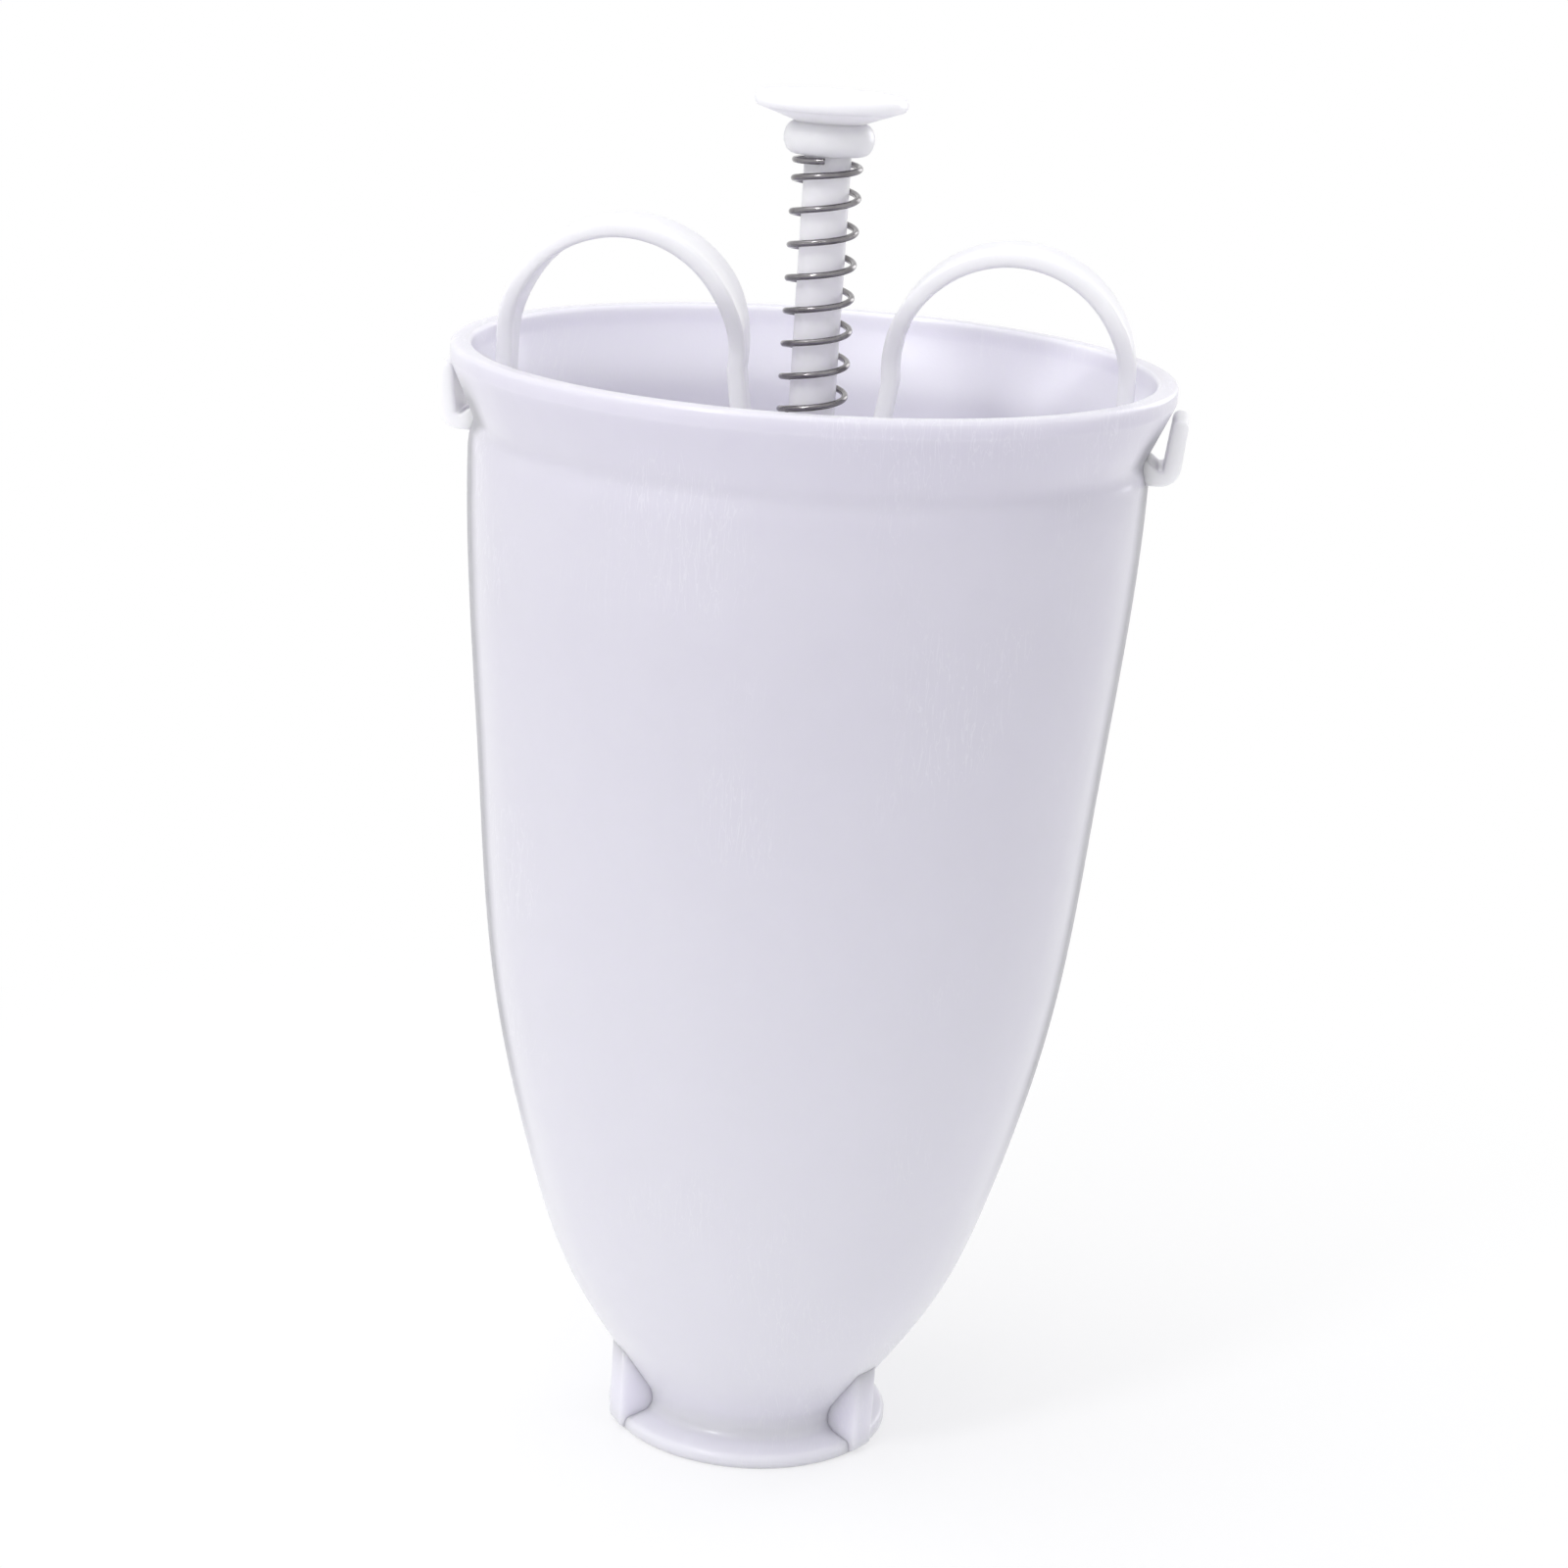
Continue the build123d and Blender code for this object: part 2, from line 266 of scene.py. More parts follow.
def slab(
    outlines: list[list[Point]],
    plane: Plane,
    low: float,
    high: float,
    rim: float,
    rim_steps: int = 3,
) -> bpy.types.Mesh:
    """Slab between two parallel faces, with rounded rims.

    Args:
        outlines: The outer outline, anticlockwise, and then any holes, clockwise.
        plane: Plane of the outlines.
        low: Where the slab starts across that plane.
        high: Where it ends.
        rim: Radius that rounds the rims of both faces.
        rim_steps: How many steps the rounding takes.

    Returns:
        The closed mesh, in metres.
    """

    def place(spot: Point, across: float) -> Vector:
        """Point of an outline as a place in the frame, in metres."""
        upright = plane is Plane.UPRIGHT
        return Vector((spot[0], across, spot[1]) if upright else (spot[0], spot[1], across)) * MM

    guard = RIM_GUARD * rim
    levels = [(rim + guard, low)]
    for step in range(rim_steps + 1):
        angle = math.pi / 2 * step / rim_steps
        levels.append((rim * (1 - math.sin(angle)), low + rim * (1 - math.cos(angle))))
    levels.append((0.0, low + rim + guard))
    levels += [(inset, high + low - across) for inset, across in reversed(levels)]
    work = bmesh.new()
    caps: list[list[bmesh.types.BMEdge]] = [[], []]
    for outline in outlines:
        spots = np.array(outline, float)
        ways = np.roll(spots, -1, axis=0) - np.roll(spots, 1, axis=0)
        ways /= np.linalg.norm(ways, axis=1)[:, None]
        inwards = np.stack([-ways[:, 1], ways[:, 0]], axis=1)
        rings = [
            [work.verts.new(place(tuple(spot), across)) for spot in spots + inwards * inset]
            for inset, across in levels
        ]
        for ring, following in zip(rings, rings[1:]):
            for i in range(len(ring)):
                j = (i + 1) % len(ring)
                work.faces.new((ring[i], ring[j], following[j], following[i]))
        for cap, ring in zip(caps, (rings[0], rings[-1])):
            cap += [work.edges.get((ring[i - 1], ring[i])) for i in range(len(ring))]
    for cap in caps:
        bmesh.ops.triangle_fill(work, edges=cap, use_beauty=True, use_dissolve=False)
    mesh = bpy.data.meshes.new("slab")
    work.to_mesh(mesh)
    work.free()
    return facing_outwards(mesh)


def upright_slab(
    corners: list[Corner], width: float, rim: float, rim_steps: int = 3
) -> bpy.types.Mesh:
    """Slab in the XZ plane that is as wide to the front as to the back."""
    outline = rounded_outline(corners)
    return slab([outline], Plane.UPRIGHT, -width / 2, width / 2, rim, rim_steps)


def line_mesh(line: list[Point], closed: bool = False) -> bpy.types.Mesh:
    """Line in the XZ plane as a mesh of edges, in metres.

    Args:
        line: Points as distance out from the axis and height.
        closed: Whether the last point joins the first.

    Returns:
        The mesh that a Geometry Nodes tree turns or sweeps.
    """
    mesh = bpy.data.meshes.new("line")
    spots = [(out * MM, 0.0, up * MM) for out, up in line]
    edges = [(i, i + 1) for i in range(len(line) - 1)]
    if closed:
        edges.append((len(line) - 1, 0))
    mesh.from_pydata(spots, edges, [])
    return mesh


def joined(meshes: list[bpy.types.Mesh]) -> bpy.types.Mesh:
    """Several closed meshes as one.

    Args:
        meshes: The meshes, which are removed.

    Returns:
        One mesh that holds all their shells.
    """
    work = bmesh.new()
    for mesh in meshes:
        work.from_mesh(mesh)
        bpy.data.meshes.remove(mesh)
    whole = bpy.data.meshes.new("joined")
    work.to_mesh(whole)
    work.free()
    whole.shade_smooth()
    return whole


def in_scene(name: str, data: bpy.types.ID) -> bpy.types.Object:
    """Puts a mesh, a lamp or a camera in the scene.

    Args:
        name: Name of its object.
        data: The mesh, lamp or camera.

    Returns:
        The object, at the origin.
    """
    thing = bpy.data.objects.new(name, data)
    bpy.context.scene.collection.objects.link(thing)
    return thing


# ---------------------------------------------------------------------------------------------
# Node trees
# ---------------------------------------------------------------------------------------------


class Signal:
    """A node's output that can be reckoned with; each step adds a node to its tree."""

    def __init__(self, wiring: Wiring, socket: bpy.types.NodeSocket) -> None:
        """Keeps the socket, and the wiring that further nodes go into."""
        self.wiring = wiring
        self.socket = socket

    def __getitem__(self, name: str) -> Signal:
        """Another output of the same node."""
        return Signal(self.wiring, self.socket.node.outputs[name])

    def __add__(self, other: Signal | float) -> Signal:
        """The sum of both."""
        return self.wiring.math("ADD", self, other)

    def __sub__(self, other: Signal | float) -> Signal:
        """What is left when the other is taken away."""
        return self.wiring.math("SUBTRACT", self, other)

    def __mul__(self, other: Signal | float) -> Signal:
        """The product of both."""
        return self.wiring.math("MULTIPLY", self, other)

    def __truediv__(self, other: Signal | float) -> Signal:
        """This one divided by the other."""
        return self.wiring.math("DIVIDE", self, other)

    def remap(self, low: float, high: float, to_low: float = 0.0, to_high: float = 1.0) -> Signal:
        """Maps low to high on to_low to to_high, and stays between those two."""
        span = {"From Min": low, "From Max": high, "To Min": to_low, "To Max": to_high}
        return self.wiring.add("ShaderNodeMapRange", {"Value": self, **span}, clamp=True)


class Wiring:
    """Adds nodes and links to one node tree."""

    def __init__(self, tree: bpy.types.NodeTree) -> None:
        """Keeps the tree that the nodes go into."""
        self.tree = tree

    def feed(self, socket: bpy.types.NodeSocket, value: object) -> None:
        """Links a signal to an input, or sets a plain value there.

        Args:
            socket: The input socket.
            value: The signal or the value.
        """
        if isinstance(value, Signal):
            self.tree.links.new(value.socket, socket)
        else:
            socket.default_value = value

    def node(
        self, kind: str, inputs: dict[str | int, object] | None = None, **settings: object
    ) -> bpy.types.Node:
        """Adds one node.

        Args:
            kind: The node's type, such as ShaderNodeMath.
            inputs: What goes into its sockets, by name or number: signals or values.
            settings: Properties of the node itself, which are set before its inputs.

        Returns:
            The new node.
        """
        count = len(self.tree.nodes)
        node = self.tree.nodes.new(kind)
        node.location = (NODE_COLUMN * count, -NODE_DROP * (count % NODE_ROWS))
        for name, value in settings.items():
            setattr(node, name, value)
        for key, value in (inputs or {}).items():
            self.feed(node.inputs[key], value)
        return node

    def add(
        self, kind: str, inputs: dict[str | int, object] | None = None, **settings: object
    ) -> Signal:
        """Adds one node, as node() does, and gives its first output."""
        return Signal(self, self.node(kind, inputs, **settings).outputs[0])

    def math(self, operation: str, *values: Signal | float, clamp: bool = False) -> Signal:
        """Works out values in the order of a Math node's inputs, kept from 0 to 1 if it clamps."""
        inputs = dict(enumerate(values))
        return self.add("ShaderNodeMath", inputs, operation=operation, use_clamp=clamp)

    def vector(self, operation: str, *values: Signal | Place) -> Signal:
        """Works out vectors in the order of a Vector Math node's inputs."""
        return self.add("ShaderNodeVectorMath", dict(enumerate(values)), operation=operation)

    def noise(self, place: Signal, scale: Signal | float, detail: float, **more: float) -> Signal:
        """Cloudy value from 0 to 1; more holds further inputs of the Noise Texture node."""
        inputs = {"Vector": place, "Scale": scale, "Detail": detail}
        return self.add("ShaderNodeTexNoise", {**inputs, **more})

    def group(self, tree: bpy.types.NodeTree, place: Signal, **sizes: float) -> Signal:
        """Places a shared group, which is read at a place and has sizes for its other inputs."""
        return self.add("ShaderNodeGroup", {"Vector": place, **sizes}, node_tree=tree)

    def mix(self, share: Signal | float, first: Signal | Colour, second: Signal | Colour) -> Signal:
        """Mixes two colours.

        Args:
            share: How much of the second colour shows.
            first: The first colour.
            second: The second colour.

        Returns:
            The mixed colour.
        """
        node = self.node("ShaderNodeMix", data_type="RGBA")
        inputs = {socket.identifier: socket for socket in node.inputs}
        for key, value in (("Factor_Float", share), ("A_Color", first), ("B_Color", second)):
            self.feed(inputs[key], value)
        return Signal(self, next(s for s in node.outputs if s.identifier == "Result_Color"))


def emptied(owner: bpy.types.Material | bpy.types.World) -> Wiring:
    """Clears the node tree of a material or a world for nodes of our own.

    Args:
        owner: The material or the world.

    Returns:
        The wiring of its tree.
    """
    owner.use_nodes = True
    owner.node_tree.nodes.clear()
    return Wiring(owner.node_tree)


class NodeGroup(Wiring):
    """Wiring of a new node group; given holds what the group is given, by the inputs' names."""

    KINDS = {float: Socket.VALUE, int: Socket.COUNT, bool: Socket.SWITCH}

    def __init__(
        self, name: str, family: str, inputs: dict[str, object], outputs: dict[str, Socket]
    ) -> None:
        """Starts the group.

        Args:
            name: The group's name.
            family: ShaderNodeTree or GeometryNodeTree.
            inputs: Its inputs, each with its default or, where it has none, with its kind.
            outputs: Its outputs with their kinds.
        """
        super().__init__(bpy.data.node_groups.new(name, family))
        for direction, plans in (("INPUT", inputs), ("OUTPUT", outputs)):
            for key, plan in plans.items():
                kind = plan if isinstance(plan, Socket) else self.KINDS[type(plan)]
                settings = {"name": key, "in_out": direction, "socket_type": kind.value}
                socket = self.tree.interface.new_socket(**settings)
                if kind is not plan:
                    socket.default_value = plan
        self.given = self.add("NodeGroupInput")


class MaskGroup(NodeGroup):
    """Shader node group that works out one value from a place and its sizes."""

    def __init__(self, name: str, sizes: dict[str, float], output: str = "Mask") -> None:
        """Starts the group with the defaults of its sizes."""
        inputs = {"Vector": Socket.VECTOR, **sizes}
        super().__init__(name, "ShaderNodeTree", inputs, {output: Socket.VALUE})

    def giving(self, value: Signal) -> bpy.types.NodeTree:
        """Ends the group with its value."""
        self.node("NodeGroupOutput", {0: value})
        return self.tree


class ShapeTree(NodeGroup):
    """Geometry Nodes tree that makes a shape from its sizes and ends it in the piece's finish."""

    def __init__(self, name: str, sizes: dict[str, float]) -> None:
        """Starts the tree with the defaults of its sizes."""
        inputs = {"Geometry": Socket.GEOMETRY, **sizes, "Finish": Socket.MATERIAL}
        super().__init__(name, "GeometryNodeTree", inputs, {"Geometry": Socket.GEOMETRY})

    def marked(self, shape: Signal, name: str, value: Signal) -> Signal:
        """The shape with a value kept on its points under a name."""
        inputs = {"Geometry": shape, "Name": name, "Value": value}
        return self.add(
            "GeometryNodeStoreNamedAttribute", inputs, data_type="FLOAT", domain="POINT"
        )

    def swept(self, path: Signal, section: Signal) -> Signal:
        """A section swept along a path, closed at both ends."""
        inputs = {"Curve": path, "Profile Curve": section, "Fill Caps": True}
        return self.add("GeometryNodeCurveToMesh", inputs)

    def giving(self, shape: Signal) -> bpy.types.NodeTree:
        """Ends the tree with smooth shading, real faces and the finish.

        Args:
            shape: The made geometry.

        Returns:
            The tree.
        """
        smooth = self.add("GeometryNodeSetShadeSmooth", {0: shape})
        real = self.add("GeometryNodeRealizeInstances", {0: smooth})
        inputs = {"Geometry": real, "Material": self.given["Finish"]}
        self.node("NodeGroupOutput", {0: self.add("GeometryNodeSetMaterial", inputs)})
        return self.tree


class FinishGroups:
    """The shader node groups that more than one finish uses.

    A span is the part of a noise that a mask shows. Scratches run in two ways, each a turn in
    radians and a shift that makes its noise another one, and are drawn out along the noise's first
    axis. They follow the lines where that noise passes its middle.
    """

    NOISE_MIDDLE = 0.5
    CLOUD_SPAN: Span = (0.32, 0.68)
    SCRATCH_WAYS = (((0.35, 0.2, 0.9), 3.0), ((-0.5, 0.4, 2.3), 11.0))
    SCRATCH_STRETCH: Place = (9.0, 1.0, 1.0)
    SCRATCH_WIDTH: Span = (0.004, 0.012)
    PATCH_SCALE = 42.0
    PATCH_SPAN: Span = (0.52, 0.66)
    WAVE_SHARE = 0.8
    GRAIN_SHARE = 0.2

    def __init__(self) -> None:
        """Builds each group once."""
        self.clouds = self._soft_clouds()
        self.scratches = self._hair_scratches()
        self.specks = self._trapped_specks()
        self.skin = self._moulded_skin()

    def _soft_clouds(self) -> bpy.types.NodeTree:
        """Uneven tone, as where the melt flowed or the air has dulled the metal.

        Returns:
            A group that puts out Mask, from 0 to 1.
        """
        w = MaskGroup("Soft Clouds", {"Scale": 30.0, "Stretch": 1.0})
        stretch = w.add("ShaderNodeCombineXYZ", {0: 1.0, 1: 1.0, 2: w.given["Stretch"]})
        place = w.vector("MULTIPLY", w.given["Vector"], stretch)
        clouds = w.noise(place, w.given["Scale"], detail=4.0, Roughness=0.55, Distortion=0.4)
        return w.giving(clouds.remap(*self.CLOUD_SPAN))

    def _hair_scratches(self) -> bpy.types.NodeTree:
        """Fine scratches of use, gathered in patches.

        Returns:
            A group that puts out Mask, from 0 to Amount.
        """
        w = MaskGroup("Hair Scratches", {"Scale": 120.0, "Amount": 0.5})
        place = w.given["Vector"]
        layers = []
        for turn, shift in self.SCRATCH_WAYS:
            drawn = {"Location": (shift, 0.0, 0.0), "Rotation": turn, "Scale": self.SCRATCH_STRETCH}
            way = w.add("ShaderNodeMapping", {"Vector": place, **drawn})
            noise = w.noise(way, w.given["Scale"], detail=2.0, Distortion=0.6)
            from_middle = w.math("ABSOLUTE", noise - self.NOISE_MIDDLE)
            layers.append(from_middle.remap(*self.SCRATCH_WIDTH, 1.0, 0.0))
        patches = w.noise(place, self.PATCH_SCALE, detail=1.0).remap(*self.PATCH_SPAN)
        return w.giving(w.math("MAXIMUM", *layers) * patches * w.given["Amount"])

    @staticmethod
    def _trapped_specks() -> bpy.types.NodeTree:
        """Tiny dark specks in the material, in a share of cells that are Spacing wide.

        Returns:
            A group that puts out Mask, 0 or 1.
        """
        w = MaskGroup("Trapped Specks", {"Spacing": 0.02, "Radius": 0.0002, "Share": 0.1})
        per_metre = w.math("DIVIDE", 1.0, w.given["Spacing"])
        cells = w.add("ShaderNodeTexVoronoi", {"Vector": w.given["Vector"], "Scale": per_metre})
        inside = w.math("LESS_THAN", cells["Distance"], w.given["Radius"] * per_metre)
        chance = w.add("ShaderNodeSeparateColor", {0: cells["Color"]})
        return w.giving(inside * w.math("LESS_THAN", chance, w.given["Share"]))

    def _moulded_skin(self) -> bpy.types.NodeTree:
        """Slight waviness of a moulded surface, with the mould's fine texture on it.

        Returns:
            A group that puts out Height, from 0 to 1.
        """
        w = MaskGroup("Moulded Skin", {"Wave": 90.0, "Grain": 2600.0}, "Height")
        wave = w.noise(w.given["Vector"], w.given["Wave"], detail=1.5)
        grain = w.noise(w.given["Vector"], w.given["Grain"], detail=2.0)
        return w.giving(wave * self.WAVE_SHARE + grain * self.GRAIN_SHARE)


class ShapeTrees:
    """The Geometry Nodes trees that turn, sweep, wind and repeat."""

    STRAP_EDGE_STEPS = 4

    def __init__(self) -> None:
        """Builds each tree once."""
        self.turned = self._turned()
        self.ring = self._ring_of_copies()
        self.strap = self._strap()
        self.coil = self._coil()

    @staticmethod
    def _turned() -> bpy.types.NodeTree:
        """Turns the outline of a piece round the Z axis.

        Returns:
            The tree. Its geometry is the outline as a line of points in order.
        """
        w = ShapeTree("Turned On Axis", {"Faces Round": 96, "Closed Outline": False})
        outline, faces = w.given["Geometry"], w.given["Faces Round"]
        size = w.add("GeometryNodeAttributeDomainSize", {0: outline}, component="MESH")
        points = size["Point Count"]
        rows, columns = points + w.given["Closed Outline"], faces + 1.0
        grid = w.add("GeometryNodeMeshGrid", {"Vertices X": rows, "Vertices Y": columns})
        index = w.add("GeometryNodeInputIndex")
        # The half keeps a whole quotient from being rounded down to the row before.
        row = w.math("FLOOR", (index + 0.5) / columns)
        position = w.add("GeometryNodeInputPosition")
        spot = w.add(
            "GeometryNodeSampleIndex",
            {"Geometry": outline, "Value": position, "Index": w.math("MODULO", row, points)},
            data_type="FLOAT_VECTOR",
            domain="POINT",
        )
        angle = (index - row * columns) / faces * math.tau
        turn = {"Vector": spot, "Angle": angle}
        turned = w.add("ShaderNodeVectorRotate", turn, rotation_type="Z_AXIS")
        placed = w.add("GeometryNodeSetPosition", {"Geometry": grid, "Position": turned})
        sealed = w.add("GeometryNodeMergeByDistance", {"Geometry": placed, "Distance": SAME_SEAM})
        return w.giving(sealed)

    @staticmethod
    def _ring_of_copies() -> bpy.types.NodeTree:
        """Repeats a piece round the Z axis.

        Returns:
            The tree. Its geometry is one copy, where it stands at angle 0.
        """
        w = ShapeTree("Ring Of Copies", {"Count": 3, "First Angle": 0.0})
        places = w.add("GeometryNodePoints", {"Count": w.given["Count"]})
        share = w.add("GeometryNodeInputIndex") * math.tau / w.given["Count"]
        turn = w.add("ShaderNodeCombineXYZ", {2: share + w.given["First Angle"]})
        inputs = {"Points": places, "Instance": w.given["Geometry"], "Rotation": turn}
        return w.giving(w.add("GeometryNodeInstanceOnPoints", inputs))

    def _strap(self) -> bpy.types.NodeTree:
        """Sweeps a flat strap with rounded edges along a path in the XZ plane.

        Returns:
            The tree. Its geometry is the path, whose points say by how much each side draws in.
        """
        w = ShapeTree("Strap Along Path", {"Thickness": 0.002, "Depth": 0.012, "Rounding": 0.0005})
        path = w.add("GeometryNodeMeshToCurve", {"Mesh": w.given["Geometry"]})
        across = {"Curve": path, "Normal": (0.0, 1.0, 0.0)}
        level = w.add("GeometryNodeSetCurveNormal", across, mode="FREE")
        size = {"Width": w.given["Depth"], "Height": w.given["Thickness"]}
        block = w.add("GeometryNodeCurvePrimitiveQuadrilateral", size, mode="RECTANGLE")
        edge = {"Radius": w.given["Rounding"], "Count": self.STRAP_EDGE_STEPS, "Limit Radius": True}
        section = w.add("GeometryNodeFilletCurve", {"Curve": block, **edge}, mode="POLY")
        spot = w.add("ShaderNodeSeparateXYZ", {0: w.add("GeometryNodeInputPosition")})
        draw_in = w.add("GeometryNodeInputNamedAttribute", {"Name": "draw_in"}, data_type="FLOAT")
        shift = w.add("ShaderNodeCombineXYZ", {1: w.math("SIGN", spot["Y"]) * draw_in * -1.0})
        swept = w.swept(level, section)
        return w.giving(w.add("GeometryNodeSetPosition", {"Geometry": swept, "Offset": shift}))

    @staticmethod
    def _coil() -> bpy.types.NodeTree:
        """Winds a compression spring whose pitch closes at both ends.

        Returns:
            The tree. Its geometry isn't used; every size is an input.
        """
        w = ShapeTree(
            "Wound Coil",
            {
                "Coil Radius": 0.00445,
                "Wire Radius": 0.00045,
                "Bottom": 0.0,
                "Top": 0.04,
                "Turns": 9.75,
                "End Pitch": 0.0014,
                "Open Pitch": 0.0045,
                "End Turns": 0.5,
                "Ramp Turns": 0.75,
                "Steps Per Turn": 64,
                "Sides": 14,
            },
        )
        size = w.given
        all_turns, end_turns, ramp_turns = size["Turns"], size["End Turns"], size["Ramp Turns"]
        end_pitch, open_pitch = size["End Pitch"], size["Open Pitch"]
        last = w.math("ROUND", all_turns * size["Steps Per Turn"])
        wire = w.add("GeometryNodeMeshLine", {"Count": last + 1.0}, mode="OFFSET")
        turns = w.add("GeometryNodeInputIndex") / last * all_turns
        from_end = w.math("MINIMUM", turns, all_turns - turns)
        past = w.math("MAXIMUM", from_end - end_turns, 0.0)
        ramp = w.math("MINIMUM", past, ramp_turns)
        closed = (w.math("MINIMUM", from_end, end_turns) + ramp) * end_pitch
        opening = ramp * ramp * ((open_pitch - end_pitch) / (ramp_turns * 2.0))
        rise = closed + opening + (past - ramp) * open_pitch
        lower = w.math("LESS_THAN", turns, all_turns * 0.5)
        upper = w.math("SUBTRACT", 1.0, lower)
        height = lower * (size["Bottom"] + rise) + upper * (size["Top"] - rise)
        angle = turns * math.tau
        across = [w.math(wave, angle) * size["Coil Radius"] for wave in ("COSINE", "SINE")]
        spot = w.add("ShaderNodeCombineXYZ", dict(enumerate([*across, height])))
        placed = w.add("GeometryNodeSetPosition", {"Geometry": wire, "Position": spot})
        line = w.add("GeometryNodeMeshToCurve", {"Mesh": w.marked(placed, "wire_run", turns)})
        circle = {"Resolution": size["Sides"], "Radius": size["Wire Radius"]}
        section = w.add("GeometryNodeCurvePrimitiveCircle", circle, mode="RADIUS")
        around = w.add("GeometryNodeSplineParameter")["Factor"]
        return w.giving(w.swept(line, w.marked(section, "wire_round", around)))


def grown(
    name: str, seed: bpy.types.Mesh, tree: bpy.types.NodeTree, inputs: dict[str, object]
) -> bpy.types.Mesh:
    """Runs a Geometry Nodes tree on a mesh and keeps the result as a plain mesh.

    Args:
        name: Name of the new mesh.
        seed: The mesh that goes into the tree; it is removed.
        tree: The tree.
        inputs: Values of the tree's named inputs.

    Returns:
        The made mesh, its faces outwards.
    """
    host = in_scene(name, seed)
    modifier = host.modifiers.new("shape", "NODES")
    modifier.node_group = tree
    sockets = {s.name: s.identifier for s in tree.interface.items_tree if s.in_out == "INPUT"}
    for key, value in inputs.items():
        modifier[sockets[key]] = value
    bpy.context.view_layer.update()
    evaluated = host.evaluated_get(bpy.context.evaluated_depsgraph_get())
    mesh = bpy.data.meshes.new_from_object(evaluated)
    mesh.name = name
    host.modifiers.clear()
    bpy.data.objects.remove(host)
    bpy.data.meshes.remove(seed)
    return facing_outwards(mesh)


def put(
    name: str, mesh: bpy.types.Mesh, finish: bpy.types.Material, body: str, node: str
) -> bpy.types.Object:
    """Puts a finished mesh in the scene in place of a CAD node.

    Args:
        name: Name of the piece.
        mesh: Its mesh, already in place.
        finish: Its material.
        body: The body that it rides on.
        node: The CAD node that it stands for.

    Returns:
        The piece.
    """
    piece = in_scene(name, mesh)
    mesh.materials.clear()
    mesh.materials.append(finish)
    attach(piece, body)
    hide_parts(node)
    log.info("%s: %d faces, on %s", name, len(mesh.polygons), body)
    return piece


# ---------------------------------------------------------------------------------------------
# Finishes
# ---------------------------------------------------------------------------------------------


